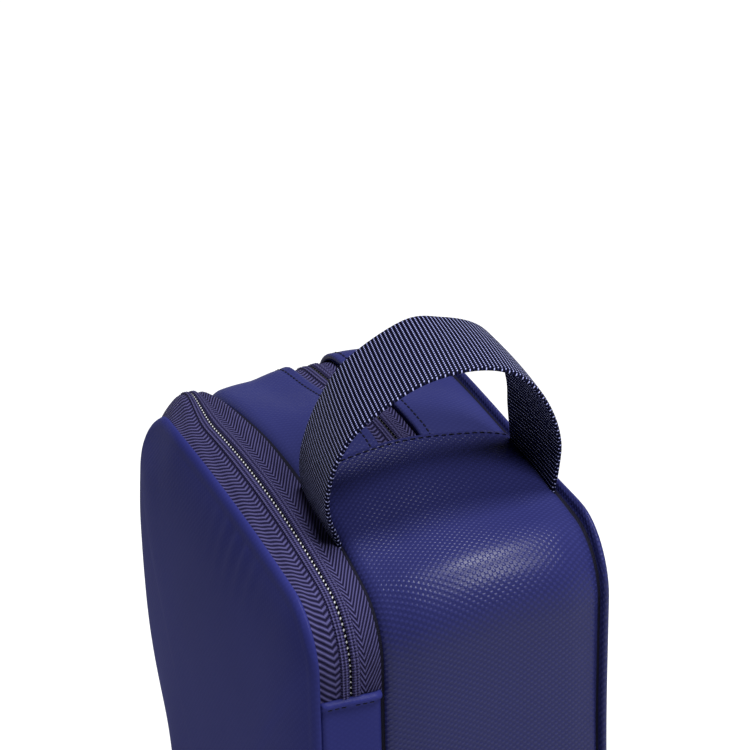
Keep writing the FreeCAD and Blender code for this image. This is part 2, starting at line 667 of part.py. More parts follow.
# A point on each line that a piece of cloth or webbing bends about; the door's is upright
# and the handle's runs along Y.
JOINT_LINES = {
    "door_hinge": (HINGE_X, ZIP_Y, MID_HEIGHT),
    "handle_lean": ("dims.handle_x", HANDLE_MIDDLE_Y, "dims.handle_pivot_z"),
}


# ---------------------------------------------------------------- build, check, write

def build():
    side_panel_near()
    zip_panels()
    side_panel_far_lower()
    base_panel()
    gusset_lining()
    back_wall()
    base_board()
    seams()
    main_zip()
    hinge_strips()
    door()
    pocket_zip()
    pocket_pouch()
    sliders()
    handle_roots()
    handle()
    doc.recompute()


def check():
    """Stop on any failed feature or bad shape before anything is written."""
    for item in doc.Objects:
        if {"Invalid", "Error"} & set(item.State):
            raise RuntimeError(f"{item.Name} of {item.Label} failed: {item.State}")
    for body in nodes:
        shape = body.Shape
        if shape.isNull() or not shape.isValid() or len(shape.Solids) != 1:
            raise RuntimeError(f"{body.Label}: bad shape, {len(shape.Solids)} solids")


def write():
    os.makedirs("parts", exist_ok=True)
    for body in nodes:
        body.Shape.exportStep(f"parts/{body.Label}.step")
    print(len(nodes), "nodes written")
    for joint, line in JOINT_LINES.items():
        print(joint, *(round(value(place), 3) for place in line))


build()
check()
write()
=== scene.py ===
"""Golf shoe bag: soft panels, zips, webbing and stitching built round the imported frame."""

import math

import bpy
import numpy as np
from mathutils import Matrix, Vector


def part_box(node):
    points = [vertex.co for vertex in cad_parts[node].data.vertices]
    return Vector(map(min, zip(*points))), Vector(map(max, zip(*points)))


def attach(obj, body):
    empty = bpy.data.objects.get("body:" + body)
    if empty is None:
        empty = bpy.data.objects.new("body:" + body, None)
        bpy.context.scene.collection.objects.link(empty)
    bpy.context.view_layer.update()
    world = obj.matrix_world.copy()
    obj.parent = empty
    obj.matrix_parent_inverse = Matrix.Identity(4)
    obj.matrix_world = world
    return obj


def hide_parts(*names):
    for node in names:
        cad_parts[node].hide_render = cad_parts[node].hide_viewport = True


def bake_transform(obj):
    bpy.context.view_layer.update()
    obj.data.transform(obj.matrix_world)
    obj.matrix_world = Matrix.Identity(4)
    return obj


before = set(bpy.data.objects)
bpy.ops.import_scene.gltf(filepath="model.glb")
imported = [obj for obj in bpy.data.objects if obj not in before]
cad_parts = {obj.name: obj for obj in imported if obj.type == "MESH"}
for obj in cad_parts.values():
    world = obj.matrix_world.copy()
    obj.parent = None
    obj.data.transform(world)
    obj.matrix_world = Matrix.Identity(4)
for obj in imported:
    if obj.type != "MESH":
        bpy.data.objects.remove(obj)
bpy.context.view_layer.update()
MM = 0.001

# ------------------------------------------------------------ sizes, in mm, from the frame


def box_mm(node):
    low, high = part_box(node)
    return np.array(low) / MM, np.array(high) / MM


BACK_HIGH = box_mm("back_panel")[1]
FRONT_WELT = box_mm("front_seam_welt")
FRONT_HIGH = box_mm("front_panel")[1]
STRIP_LOW, STRIP_HIGH = box_mm("hinge_strip_body")
ROOT_LOW, ROOT_HIGH = box_mm("handle_root_front")
POCKET_HIGH = box_mm("pocket_coil_front")[1]

HALF_WIDTH = BACK_HIGH[0]
WELT_INSET = 0.8
SEAM_TOP = FRONT_WELT[1][2] + WELT_INSET
BACK_TOP = BACK_HIGH[2]
DOOR_TOP = 342.5
DOOR_Y = FRONT_HIGH[1] - 1.2
SEAM_FRONT = (FRONT_WELT[0][1] + FRONT_WELT[1][1]) / 2
SEAM_BACK = BACK_HIGH[1] - 0.4
ZIP_Y = (DOOR_Y + SEAM_FRONT) / 2
ZIP_END_Z = STRIP_HIGH[2] + 0.2
ZIP_LOW_END_Z = STRIP_LOW[2] - 0.2
POCKET_Y = POCKET_HIGH[1] + 0.6
POCKET_FOLD = 9.0
CROSS_X = POCKET_HIGH[0] + 0.4
FAR_SEAM_Z = box_mm("zip_panel_front")[0][2]
CORNER = 28.0
RISE_SEAM = 19.5
RISE_EDGE = 5.6
PUFF = 6.0
TAPE_FLOOR = 1.4


# ------------------------------------------------------------ the bag's outline

def smooth(t):
    t = np.clip(t, 0, 1)
    return t * t * (3 - 2 * t)


def section(y):
    """Half width, top, crown rise at a depth y: the band grows a crown, the gusset puffs."""
    y = np.asarray(y, float)
    band = np.clip((y - DOOR_Y) / (SEAM_FRONT - DOOR_Y), 0, 1)
    share = np.clip((y - SEAM_FRONT) / (SEAM_BACK - SEAM_FRONT), 0, 1)
    puff = PUFF * 4 * share * (1 - share)
    in_band = y < SEAM_FRONT
    top = np.where(in_band, DOOR_TOP + (SEAM_TOP - DOOR_TOP) * band,
                   SEAM_TOP + (BACK_TOP - SEAM_TOP) * share + puff)
    rise = np.where(in_band, RISE_EDGE + (RISE_SEAM - RISE_EDGE) * band,
                    RISE_SEAM + (RISE_EDGE - RISE_SEAM) * share)
    return HALF_WIDTH + puff, top, rise


def lengths(y, floor=0.0):
    """Radii, centres and arc lengths of the outline at depth y, from the apex down."""
    half, top, rise = section(y)
    crown = (half ** 2 + rise ** 2) / (2 * rise)
    crown_z = top - crown
    shoulder_z = crown_z + np.sqrt((crown - CORNER) ** 2 - (half - CORNER) ** 2)
    lean = np.arctan2(half - CORNER, shoulder_z - crown_z)
    l1 = crown * lean
    l2 = l1 + CORNER * (math.pi / 2 - lean)
    l3 = l2 + shoulder_z - (floor + CORNER)
    l4 = l3 + CORNER * math.pi / 2
    l5 = l4 + half - CORNER
    return half, crown, crown_z, shoulder_z, lean, l1, l2, l3, l4, l5


def outline(s, y, rise=0.0, floor=0.0):
    """Point at arc length s from the apex (towards +X when positive), raised along the normal.

    s may run on past the middle of the underside, where the outline closes on itself.
    """
    s, y, rise, floor = np.broadcast_arrays(*(np.asarray(v, float) for v in (s, y, rise, floor)))
    half, crown, crown_z, shoulder_z, lean, l1, l2, l3, l4, l5 = lengths(y, floor)
    s = (s + l5) % (2 * l5) - l5
    a = np.abs(s)
    on_crown = a / crown
    on_shoulder = lean + (a - l1) / CORNER
    on_foot = (a - l3) / CORNER
    cases = [a < l1, a < l2, a < l3, a < l4]
    inner = half - CORNER
    x = np.select(cases, [crown * np.sin(on_crown), inner + CORNER * np.sin(on_shoulder), half,
                          inner + CORNER * np.cos(on_foot)], inner - (a - l4))
    z = np.select(cases, [crown_z + crown * np.cos(on_crown),
                          shoulder_z + CORNER * np.cos(on_shoulder), shoulder_z - (a - l2),
                          floor + CORNER - CORNER * np.sin(on_foot)], floor)
    nx = np.select(cases, [np.sin(on_crown), np.sin(on_shoulder), 1 + 0 * a, np.cos(on_foot)], 0)
    nz = np.select(cases, [np.cos(on_crown), np.cos(on_shoulder), 0 * a, -np.sin(on_foot)], -1)
    side = np.where(s < 0, -1.0, 1.0)
    return np.stack([side * (x + nx * rise), y, z + nz * rise], -1)


def s_at_x(x, y):
    """Arc length where the crown reaches x."""
    crown = lengths(y)[1]
    return crown * np.arcsin(np.clip(x / crown, -1, 1))


def s_at_z(z, y, side=1, floor=0.0):
    """Arc length where the straight side is at height z."""
    values = lengths(y, floor)
    return side * (values[6] + values[3] - z)


def s_at_foot(y, side=1, floor=0.0):
    """Arc length where the rounded foot meets the flat underside."""
    return side * lengths(y, floor)[8]


# ------------------------------------------------------------ how the cloth settles

# each move of the cloth starts at a height (_Z) or a distance from the middle (_START) and is
# complete one _SPAN further on
SAG_Z = 132.0
SAG_SPREAD = 62.0
SAG_SIDE = 15.0
SAG_DEPTH = 12.0
SAG_START, SAG_SPAN = 40.0, 62.0
CORNER_Z, CORNER_SPAN = 302.0, 34.0
FAR_START, FAR_SPAN = 45.0, 50.0
TAPER_Z, TAPER_SPAN = 272.0, 50.0
SHOULDER_START, SHOULDER_SPAN = 12.0, 62.0
LIP_X, LIP_SPREAD = 86.0, 26.0
LIP_Z, LIP_SPAN = 285.0, 30.0
BACK_WAVE = 0.45
CORNER_TUCK = 6.5
DOOR_DROP = 7.0
DOOR_TAPER = 6.0
CORNER_LIFT = 2.2
SHOULDER_DROP = 6.2
LIP_LIFT = 3.0


def settle(points, with_cover=False):
    """Slack in the whole bag: the door's far edge and the far shoulder sink in a little.

    Layers inside the door move with its cover when with_cover is true.
    """
    p = np.array(points, float)
    x, y, z = p[..., 0].copy(), p[..., 1].copy(), p[..., 2].copy()
    sag = np.exp(-((z - SAG_Z) / SAG_SPREAD) ** 2)
    far_edge = smooth((-x - SAG_START) / SAG_SPAN)
    far_edge = far_edge * (1.0 if with_cover else smooth((ZIP_Y - 3 - y) / 9))
    p[..., 0] += SAG_SIDE * sag * far_edge
    p[..., 1] += SAG_DEPTH * sag * far_edge
    far = smooth((-x - FAR_START) / FAR_SPAN)
    high = smooth((z - CORNER_Z) / CORNER_SPAN) * far
    edge = smooth((ZIP_Y - 6 - y) / 8)
    p[..., 1] += CORNER_TUCK * high * smooth((SEAM_FRONT - y) / 22) * (1 - 0.5 * edge)
    p[..., 2] -= DOOR_DROP * high * edge
    p[..., 0] += DOOR_TAPER * smooth((z - TAPER_Z) / TAPER_SPAN) * far * edge
    p[..., 2] += CORNER_LIFT * high * smooth((SEAM_FRONT + 1 - y) / 4)
    drop = smooth((z - CORNER_Z) / CORNER_SPAN) * smooth((-x - SHOULDER_START) / SHOULDER_SPAN)
    drop *= smooth((y - SEAM_FRONT + 3) / 26) * smooth((SEAM_BACK + 3 - y) / 18)
    p[..., 2] -= SHOULDER_DROP * drop
    p[..., 0] += 0.3 * SHOULDER_DROP * drop
    near_lip = np.exp(-((x - LIP_X) / LIP_SPREAD) ** 2) * smooth((z - LIP_Z) / LIP_SPAN)
    p[..., 2] += LIP_LIFT * near_lip * smooth((y - SEAM_BACK + 1.5) / 3)
    above_floor = smooth(z / 40) * smooth((x + 100) / 30)
    wave = np.sin(x / 31 + 1.1) * np.sin(z / 43 + y / 37) + 0.6 * np.sin(z / 23 - x / 47 + 2.0)
    p[..., 1] += BACK_WAVE * wave * above_floor * smooth((y - SEAM_BACK + 4) / 3)
    p[..., 2] = np.maximum(p[..., 2], 0.0)
    return p


# ------------------------------------------------------------ meshes

def new_object(name, vertices, faces, material, uv=None):
    mesh = bpy.data.meshes.new(name)
    mesh.from_pydata((np.asarray(vertices) * MM).tolist(), [], faces)
    mesh.update()
    if uv is not None:
        layer = mesh.uv_layers.new(name="cloth")
        loops = np.empty(len(mesh.loops), np.int32)
        mesh.loops.foreach_get("vertex_index", loops)
        layer.data.foreach_set("uv", np.asarray(uv, np.float32)[loops].ravel())
    mesh.polygons.foreach_set("use_smooth", [True] * len(mesh.polygons))
    mesh.materials.append(material)
    obj = bpy.data.objects.new(name, mesh)
    bpy.context.scene.collection.objects.link(obj)
    return obj


def grid_faces(rows, columns, start=0, flip=False, closed=False):
    """Quads of a rows by columns grid of vertices; closed joins the last column to the first."""
    last = columns if closed else columns - 1
    faces = []
    for r in range(rows - 1):
        for c in range(last):
            d = (c + 1) % columns
            quad = (start + r * columns + c, start + r * columns + d,
                    start + (r + 1) * columns + d, start + (r + 1) * columns + c)
            faces.append(quad[::-1] if flip else quad)
    return faces


def slab(name, outer, inner, uv, material):
    """Closed sheet between two equal grids of points: outer face, inner face and edges."""
    rows, columns = outer.shape[:2]
    count = rows * columns
    vertices = np.concatenate([outer.reshape(-1, 3), inner.reshape(-1, 3)])
    faces = grid_faces(rows, columns) + grid_faces(rows, columns, count, flip=True)
    rim = ([(0, c) for c in range(columns)] + [(r, columns - 1) for r in range(1, rows)]
           + [(rows - 1, c) for c in range(columns - 2, -1, -1)]
           + [(r, 0) for r in range(rows - 2, 0, -1)])
    index = [r * columns + c for r, c in rim]
    for a, b in zip(index, index[1:] + index[:1]):
        faces.append((b, a, a + count, b + count))
    flat = uv.reshape(-1, 2)
    return new_object(name, vertices, faces, material, np.concatenate([flat, flat]))


def spaced(length, step, crowd):
    """Shares 0 to 1 about step apart, closer together at both ends when crowd is above 0."""
    t = np.linspace(0, 1, max(4, int(length / step) + 2))
    return t - crowd * np.sin(2 * math.pi * t) / (2 * math.pi)


def band_patch(name, s_range, y_range, rise, thickness, material, step=(2.4, 1.6), floor=0.0,
               crowd=0.7, with_cover=False):
    """Sheet that follows the outline between arc lengths s_range (functions of y) and depths
    y_range; rise(s, y) lifts it off the outline."""
    y0, y1 = y_range
    middle = (y0 + y1) / 2
    v = spaced(y1 - y0, step[1], crowd)
    u = spaced(s_range[1](middle) - s_range[0](middle), step[0], crowd * 0.5)
    U, V = np.meshgrid(u, v)
    Y = y0 + (y1 - y0) * V
    low, high = (edge(Y) for edge in s_range)
    S = low + (high - low) * U
    H = rise(S, Y)
    outer = settle(outline(S, Y, H, floor), with_cover)
    inner = settle(outline(S, Y, H - thickness, floor), with_cover)
    return slab(name, outer, inner, np.stack([S, Y], -1), material)


def rolled(distance, radius, depth):
    """Drop of a cloth edge that rolls down into its seam within radius of the edge."""
    t = np.clip(1 - distance / radius, 0, 1)
    return -depth * (1 - np.sqrt(np.maximum(1 - t * t, 0)))


def cap(name, base_y, outward, rim, dome, thickness, material, step=3.0, with_cover=False):
    """Door or back panel: rows of the rim's (inset, y) profile, then rings to the middle.

    dome(x, z, d) is how far a point at distance d from the edge stands proud.
    """
    perimeter = float(lengths(base_y)[9])
    count = int(2 * perimeter / step)
    s = np.linspace(-perimeter, perimeter, count, endpoint=False)
    rows = [outline(s, base_y, -inset) for inset, _ in rim]
    for row, (_, y) in zip(rows, rim):
        row[:, 1] = y
    last = rows[-1].copy()
    middle = np.array([0, 0, (last[:, 2].max() + last[:, 2].min()) / 2])
    out = outline(s, base_y, 1.0) - outline(s, base_y, 0.0)
    reach = ((last - middle) * out)[:, [0, 2]].sum(1)
    edge_y = rim[-1][1]
    start = float(dome(last[:, 0], last[:, 2], 0 * reach).mean())
    for share in (1 - np.linspace(0, 1, 48)[1:-1] ** 1.25):
        row = middle + (last - middle) * share
        row[:, 1] = edge_y + outward * (dome(row[:, 0], row[:, 2], (1 - share) * reach) - start)
        rows.append(row)
    grid = np.stack(rows)
    inner = grid.copy()
    inner[..., 1] -= outward * thickness
    inner[:, :, 0] *= 1 - thickness / HALF_WIDTH
    inner[:, :, 2] = middle[2] + (inner[:, :, 2] - middle[2]) * (1 - thickness / middle[2])
    total, columns = grid.shape[:2]
    vertices = [settle(g, with_cover).reshape(-1, 3) for g in (grid, inner)]
    centres = [settle(g[-1].mean(0), with_cover) for g in (grid, inner)]
    size = total * columns
    flip = outward > 0
    faces = (grid_faces(total, columns, 0, flip, True)
             + grid_faces(total, columns, size, not flip, True))
    hub = 2 * size
    for layer, turned in ((0, flip), (1, not flip)):
        ring = layer * size + (total - 1) * columns
        for c in range(columns):
            tri = (ring + c, ring + (c + 1) % columns, hub + layer)
            faces.append(tri[::-1] if turned else tri)
    for c in range(columns):
        quad = (c, size + c, size + (c + 1) % columns, (c + 1) % columns)
        faces.append(quad[::-1] if flip else quad)
    points = np.concatenate(vertices + [np.array(centres)])
    return new_object(name, points, faces, material, points[:, [0, 2]])


# ------------------------------------------------------------ node helpers

BAND_HALF = 4.1


class Shader:
    """Small helper that builds a material's nodes; u and v are the cloth's own mm."""

    def __init__(self, name):
        self.material = bpy.data.materials.new(name)
        self.material.use_nodes = True
        self.tree = self.material.node_tree
        self.surface = self.tree.nodes["Principled BSDF"]
        self._uv = None

    def node(self, kind, **settings):
        made = self.tree.nodes.new(kind)
        for key, value in settings.items():
            setattr(made, key, value)
        return made

    def put(self, socket, value):
        if isinstance(value, bpy.types.NodeSocket):
            self.tree.links.new(value, socket)
        else:
            socket.default_value = value

    def math(self, operation, *values):
        made = self.node("ShaderNodeMath", operation=operation)
        for socket, value in zip(made.inputs, values):
            self.put(socket, value)
        return made.outputs[0]

    def uv(self):
        if self._uv is None:
            layer = self.node("ShaderNodeUVMap", uv_map="cloth")
            split = self.node("ShaderNodeSeparateXYZ")
            self.tree.links.new(layer.outputs[0], split.inputs[0])
            self._uv = split.outputs[0], split.outputs[1]
        return self._uv

    def place(self):
        return self.node("ShaderNodeTexCoord").outputs["Object"]

    def noise(self, scale, detail=3.0, rough=0.5, at=None):
        made = self.node("ShaderNodeTexNoise")
        self.put(made.inputs["Vector"], at or self.place())
        made.inputs["Scale"].default_value = scale
        made.inputs["Detail"].default_value = detail
        made.inputs["Roughness"].default_value = rough
        return made.outputs["Fac"]

    def wave(self, value, period, phase=0.0):
        """Cosine of a length in mm with the given period."""
        turned = self.math("MULTIPLY_ADD", value, 2 * math.pi / period, phase)
        return self.math("COSINE", turned)

    def ramp(self, value, low, high, to_low=0.0, to_high=1.0):
        made = self.node("ShaderNodeMapRange")
        for socket, given in zip(made.inputs, (value, low, high, to_low, to_high)):
            self.put(socket, given)
        return made.outputs[0]

    def mix(self, share, a, b):
        made = self.node("ShaderNodeMix", data_type="RGBA")
        self.put(made.inputs["Factor"], share)
        self.put(made.inputs[6], a)
        self.put(made.inputs[7], b)
        return made.outputs[2]

    def bump(self, height, distance, strength=1.0, under=None):
        made = self.node("ShaderNodeBump")
        self.put(made.inputs["Height"], height)
        made.inputs["Distance"].default_value = distance * MM
        made.inputs["Strength"].default_value = strength
        if under is not None:
            self.put(made.inputs["Normal"], under)
        return made.outputs[0]

    def finish(self, colour, roughness, normal=None, **inputs):
        self.put(self.surface.inputs["Base Color"], colour)
        self.put(self.surface.inputs["Roughness"], roughness)
        if normal is not None:
            self.put(self.surface.inputs["Normal"], normal)
        for key, value in inputs.items():
            self.put(self.surface.inputs[key.replace("_", " ")], value)
        return self.material


def rgb(red, green, blue):
    return red, green, blue, 1.0


NAVY = rgb(0.019, 0.021, 0.100)
# painted shade for the gaps between the embossed dots
NAVY_GAP_SHADE = rgb(0.007, 0.007, 0.038)
NAVY_LIGHT = rgb(0.029, 0.033, 0.140)
DOT_ALONG, DOT_ACROSS = 2.5, 3.1
COAT_ROUGHNESS = 0.31


def coated_cloth(name, grain, base=NAVY, light=NAVY_LIGHT, roughness=0.42, gloss=0.29):
    """Coated navy cloth with its embossed lattice of small dots; grain is the dots' height and
    also how strong the painted shade in their gaps is.
    """
    sh = Shader(name)
    u, v = sh.uv()
    dots = sh.math("MULTIPLY", sh.wave(u, DOT_ALONG), sh.wave(v, DOT_ACROSS))
    dots = sh.ramp(dots, -0.15, 0.75)
    broad = sh.noise(9.0, 2.0)
    fine = sh.noise(900.0, 2.0)
    worn = sh.noise(60.0, 5.0, 0.6)
    colour = sh.mix(sh.ramp(broad, 0.3, 0.7, 0.15, 0.55), base, light)
    # painted shade: the gaps between the embossed dots are darkened, more as grain grows
    colour = sh.mix(sh.math("MULTIPLY", sh.ramp(dots, 0, 1, 0.35, 0.0), grain), colour, NAVY_GAP_SHADE)
    rough = sh.ramp(worn, 0.3, 0.7, roughness - 0.06, roughness + 0.08)
    normal = sh.bump(dots, 0.16 * grain)
    normal = sh.bump(fine, 0.02, 1.0, normal)
    normal = sh.bump(worn, 0.25, 0.5, normal)
    return sh.finish(colour, rough, normal, Specular_IOR_Level=0.0, Coat_Weight=gloss,
                     Coat_Roughness=COAT_ROUGHNESS, Coat_Normal=normal)


def herringbone(sh, distance, slope, turn=6.2, period=2.9):
    """Height of a herringbone weave: slanted ribs that turn round once, turn mm out."""
    u, _ = sh.uv()
    fold = sh.math("ABSOLUTE", sh.math("SUBTRACT", distance, turn))
    return sh.wave(sh.math("MULTIPLY_ADD", fold, slope, u), period)


def zip_cloth(name, centre):
    """Zip tape: herringbone ribs outside, a knobbly plain band with stitch rows at the coil;
    painted highlight on the raised ribs and painted shade in the grooves.
    """
    sh = Shader(name)
    u, v = sh.uv()
    offset = sh.math("SUBTRACT", v, centre)
    distance = sh.math("ABSOLUTE", offset)
    ribs = herringbone(sh, distance, sh.ramp(offset, -0.5, 0.5, 0.8, 2.0))
    yarn = sh.wave(sh.math("SUBTRACT", distance, u), 0.7)
    ribs = sh.math("MULTIPLY_ADD", yarn, 0.25, ribs)
    knobs = sh.math("ADD", sh.wave(distance, 1.5, -0.9), sh.wave(u, 1.25))
    knobs = sh.math("MULTIPLY", knobs, 0.6)
    in_band = sh.ramp(distance, BAND_HALF + 0.25, BAND_HALF - 0.05)
    height = sh.node("ShaderNodeMix", data_type="FLOAT")
    sh.put(height.inputs[0], in_band)
    sh.put(height.inputs[2], ribs)
    sh.put(height.inputs[3], knobs)
    height = height.outputs[0]
    colour = sh.mix(sh.noise(200.0, 4.0), rgb(0.024, 0.021, 0.075), rgb(0.036, 0.032, 0.100))
    # painted highlight on the raised ribs and knobs, then painted shade in the grooves: the colour
    # follows the weave's height
    colour = sh.mix(sh.ramp(height, 0.1, 1.0, 0.0, 0.8), colour, rgb(0.100, 0.095, 0.230))
    colour = sh.mix(sh.ramp(height, -1, 0.1, 0.95, 0.0), colour, rgb(0.003, 0.002, 0.012))
    normal = sh.bump(height, 0.24)
    normal = sh.bump(sh.noise(1500.0, 2.0), 0.05, 1.0, normal)
    return sh.finish(colour, 0.75, normal, Specular_IOR_Level=0.06)


RIDGE_PITCH = 1.65
PICK_PITCH = 1.2


def webbing_cloth(name):
    """Heavy nylon webbing: a ridge of slanted picks across the strap every RIDGE_PITCH mm, with
    painted shade in the grooves and a painted highlight on the ridge tops.
    """
    sh = Shader(name)
    u, v = sh.uv()
    wander = sh.math("MULTIPLY_ADD", sh.noise(35.0, 2.0), 0.5, v)
    ridge = sh.ramp(sh.wave(wander, RIDGE_PITCH), -0.2, 0.9)
    picks = sh.ramp(sh.wave(sh.math("MULTIPLY_ADD", v, 0.36, u), PICK_PITCH), -0.7, 0.7)
    height = sh.math("MULTIPLY", ridge, sh.math("MULTIPLY_ADD", picks, 0.62, 0.38))
    # painted shade: the grooves between the ridges go near-black; painted highlight: the ridge
    # tops turn pale blue
    colour = sh.mix(sh.ramp(height, 0.0, 0.4), rgb(0.002, 0.002, 0.008),
                    rgb(0.009, 0.010, 0.044))
    colour = sh.mix(sh.ramp(height, 0.5, 0.95), colour, rgb(0.380, 0.405, 0.720))
    normal = sh.bump(height, 0.4)
    return sh.finish(colour, 0.6, normal, Specular_IOR_Level=0.03)


def thread_finish(name, colour):
    sh = Shader(name)
    twist = sh.noise(1800.0, 2.0)
    normal = sh.bump(twist, 0.06)
    return sh.finish(colour, 0.6, normal, Specular_IOR_Level=0.15)


def woven_plain(name, base, light, period=0.8, roughness=0.8):
    """Plain woven cloth, for the lining and the binding."""
    sh = Shader(name)
    place = sh.node("ShaderNodeSeparateXYZ")
    sh.put(place.inputs[0], sh.place())
    along = sh.math("MULTIPLY", sh.math("ADD", place.outputs[0], place.outputs[2]), 1000.0)
    across = sh.math("MULTIPLY", sh.math("SUBTRACT", place.outputs[1], place.outputs[2]), 1000.0)
    weave = sh.math("MULTIPLY", sh.wave(along, period), sh.wave(across, period))
    colour = sh.mix(sh.ramp(weave, -1, 1, 0.2, 0.8), base, light)
    colour = sh.mix(sh.ramp(sh.noise(14.0, 4.0), 0.3, 0.7, 0.0, 0.3), colour, light)
    normal = sh.bump(weave, 0.08)
    return sh.finish(colour, roughness, normal, Specular_IOR_Level=0.1)


def black_plastic(name, base, roughness):
    sh = Shader(name)
    mottle = sh.noise(700.0, 3.0)
    colour = sh.mix(sh.ramp(sh.noise(40.0, 4.0), 0.3, 0.7), base,
                    tuple(min(1.0, 1.7 * c + 0.004) for c in base[:3]) + (1.0,))
    rough = sh.ramp(mottle, 0.3, 0.7, roughness - 0.05, roughness + 0.08)
    return sh.finish(colour, rough, sh.bump(mottle, 0.02))


def coil_nylon(name, glint_colour):
    """Black nylon with one pale spot a turn on each loop's head: a painted highlight."""
    sh = Shader(name)
    turn, _ = sh.uv()
    # painted highlight: a pale spot on each loop's head
    glint = sh.ramp(sh.wave(turn, 1.0, math.pi), 0.6, 0.85)
    colour = sh.mix(glint, rgb(0.002, 0.002, 0.003), glint_colour)
    return sh.finish(colour, 0.4, sh.bump(sh.noise(900.0, 2.0), 0.02), Specular_IOR_Level=0.1)


def enamelled_metal(name):
    """Black enamel over die-cast zinc, rubbed bright on its edges."""
    sh = Shader(name)
    edge = sh.node("ShaderNodeNewGeometry").outputs["Pointiness"]
    worn = sh.math("MULTIPLY", sh.ramp(edge, 0.58, 0.68), sh.ramp(sh.noise(260.0, 4.0), 0.45, 0.6))
    colour = sh.mix(worn, rgb(0.010, 0.010, 0.013), rgb(0.20, 0.195, 0.19))
    rough = sh.ramp(sh.noise(500.0, 3.0), 0.3, 0.7, 0.24, 0.36)
    return sh.finish(colour, rough, sh.bump(sh.noise(900.0, 2.0), 0.01),
                     Metallic=sh.math("MULTIPLY", worn, 0.8), Specular_IOR_Level=0.3)


EMBOSSED = coated_cloth("navy_embossed", 1.0)
# Top strips: finer grain and less gloss than the side cloth, and a lighter colour that is painted
# light for the stronger light on the top
EMBOSSED_TOP_LIT = coated_cloth("navy_embossed_top_lit", 0.45, light=rgb(0.042, 0.048, 0.175),
                            gloss=0.16)
SMOOTH = coated_cloth("navy_smooth", 0.30, rgb(0.019, 0.022, 0.120), rgb(0.031, 0.035, 0.175),
                      0.45, 0.07)
MAIN_TAPE = zip_cloth("main_zip_tape", ZIP_Y)
POCKET_TAPE = zip_cloth("pocket_zip_tape", POCKET_Y)
WEBBING = webbing_cloth("webbing_navy")
THREAD = thread_finish("thread_navy", rgb(0.004, 0.004, 0.020))
TAPE_THREAD = thread_finish("thread_purple", rgb(0.060, 0.056, 0.140))
LINING = woven_plain("lining_cloth", rgb(0.020, 0.020, 0.050), rgb(0.050, 0.050, 0.100))
# near-black binding, used for the binding inside and for the seam valleys, where its near-black is
# painted shade
BINDING = woven_plain("binding_tape", rgb(0.003, 0.003, 0.008), rgb(0.008, 0.008, 0.020), 1.1)
# the main coil's loop heads carry a pale painted highlight, the pocket coil's a dark one that
# barely shows
COIL = coil_nylon("coil_nylon", rgb(0.62, 0.63, 0.66))
POCKET_COIL = coil_nylon("coil_nylon_pocket", rgb(0.03, 0.03, 0.035))
PULL = black_plastic("pull_rubber", rgb(0.016, 0.016, 0.022), 0.5)
BOARD = black_plastic("board_plastic", rgb(0.030, 0.030, 0.032), 0.6)
ENAMEL = enamelled_metal("slider_enamel")


# ------------------------------------------------------------ places along the outline

def at_x(x):
    return lambda y: s_at_x(x, y)


def at_z(z, side=1, floor=0.0):
    return lambda y: s_at_z(z, y, side, floor)


def foot(side=1):
    return lambda y: s_at_foot(y, side)


def past_base(z, floor=0.0):
    """The near side at height z, reached the long way: over the far side and the underside."""
    return lambda y: s_at_z(z, y, 1, floor) - 2 * lengths(y, floor)[9]


ALL_ROUND = (lambda y: -lengths(y)[9], lambda y: lengths(y)[9] - 0.01)


def stood(node_or_nodes, piece, body):
    """Piece rides on a body and stands for CAD nodes."""
    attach(piece, body)
    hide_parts(*np.atleast_1d(node_or_nodes).tolist())
    return piece


# ------------------------------------------------------------ stitching

def frames_along(points):
    """Unit tangents of a run of points."""
    tangent = np.gradient(points, axis=0)
    return tangent / np.linalg.norm(tangent, axis=1)[:, None]


def stitch_row(name, points, outward, body, material=None, length=2.6, pitch=3.4, radius=0.33):
    """Row of stitches: a short rounded bar of thread every pitch along the points."""
    material = material or THREAD
    gaps = np.linalg.norm(np.diff(points, axis=0), axis=1)
    run = np.concatenate([[0], np.cumsum(gaps)])
    starts = np.arange(pitch * 0.3, run[-1] - length, pitch)
    shares = np.array([0.0, 0.12, 0.35, 0.65, 0.88, 1.0])
    swell = np.array([0.35, 0.85, 1.0, 1.0, 0.85, 0.35])
    lift = np.array([-0.9, -0.1, 0.25, 0.25, -0.1, -0.9]) * radius
    sides = 6
    angle = np.arange(sides) * 2 * math.pi / sides
    vertices, faces = [], []
    for start in starts:
        where = start + shares * length
        centre = np.stack([np.interp(where, run, points[:, k]) for k in range(3)], -1)
        up = np.stack([np.interp(where, run, outward[:, k]) for k in range(3)], -1)
        up /= np.linalg.norm(up, axis=1)[:, None]
        along = frames_along(centre)
        across = np.cross(along, up)
        centre = centre + up * lift[:, None]
        ring = (across[:, None] * np.cos(angle)[None, :, None] * 1.15
                + up[:, None] * np.sin(angle)[None, :, None] * 0.85)
        base = len(vertices) * len(shares) * sides
        vertices.append((centre[:, None] + ring * (radius * swell)[:, None, None]).reshape(-1, 3))
        faces += grid_faces(len(shares), sides, base, closed=True)
        faces.append(tuple(base + k for k in range(sides))[::-1])
        faces.append(tuple(base + (len(shares) - 1) * sides + k for k in range(sides)))
    obj = new_object(name, np.concatenate(vertices), faces, material)
    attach(obj, body)
    return obj


def outline_run(s, y, rise, floor=0.0):
    """Points on the settled outline and the directions that face out there."""
    points = settle(outline(s, y, rise, floor))
    return points, settle(outline(s, y, rise + 1.0, floor)) - points


# ------------------------------------------------------------ gusset panels

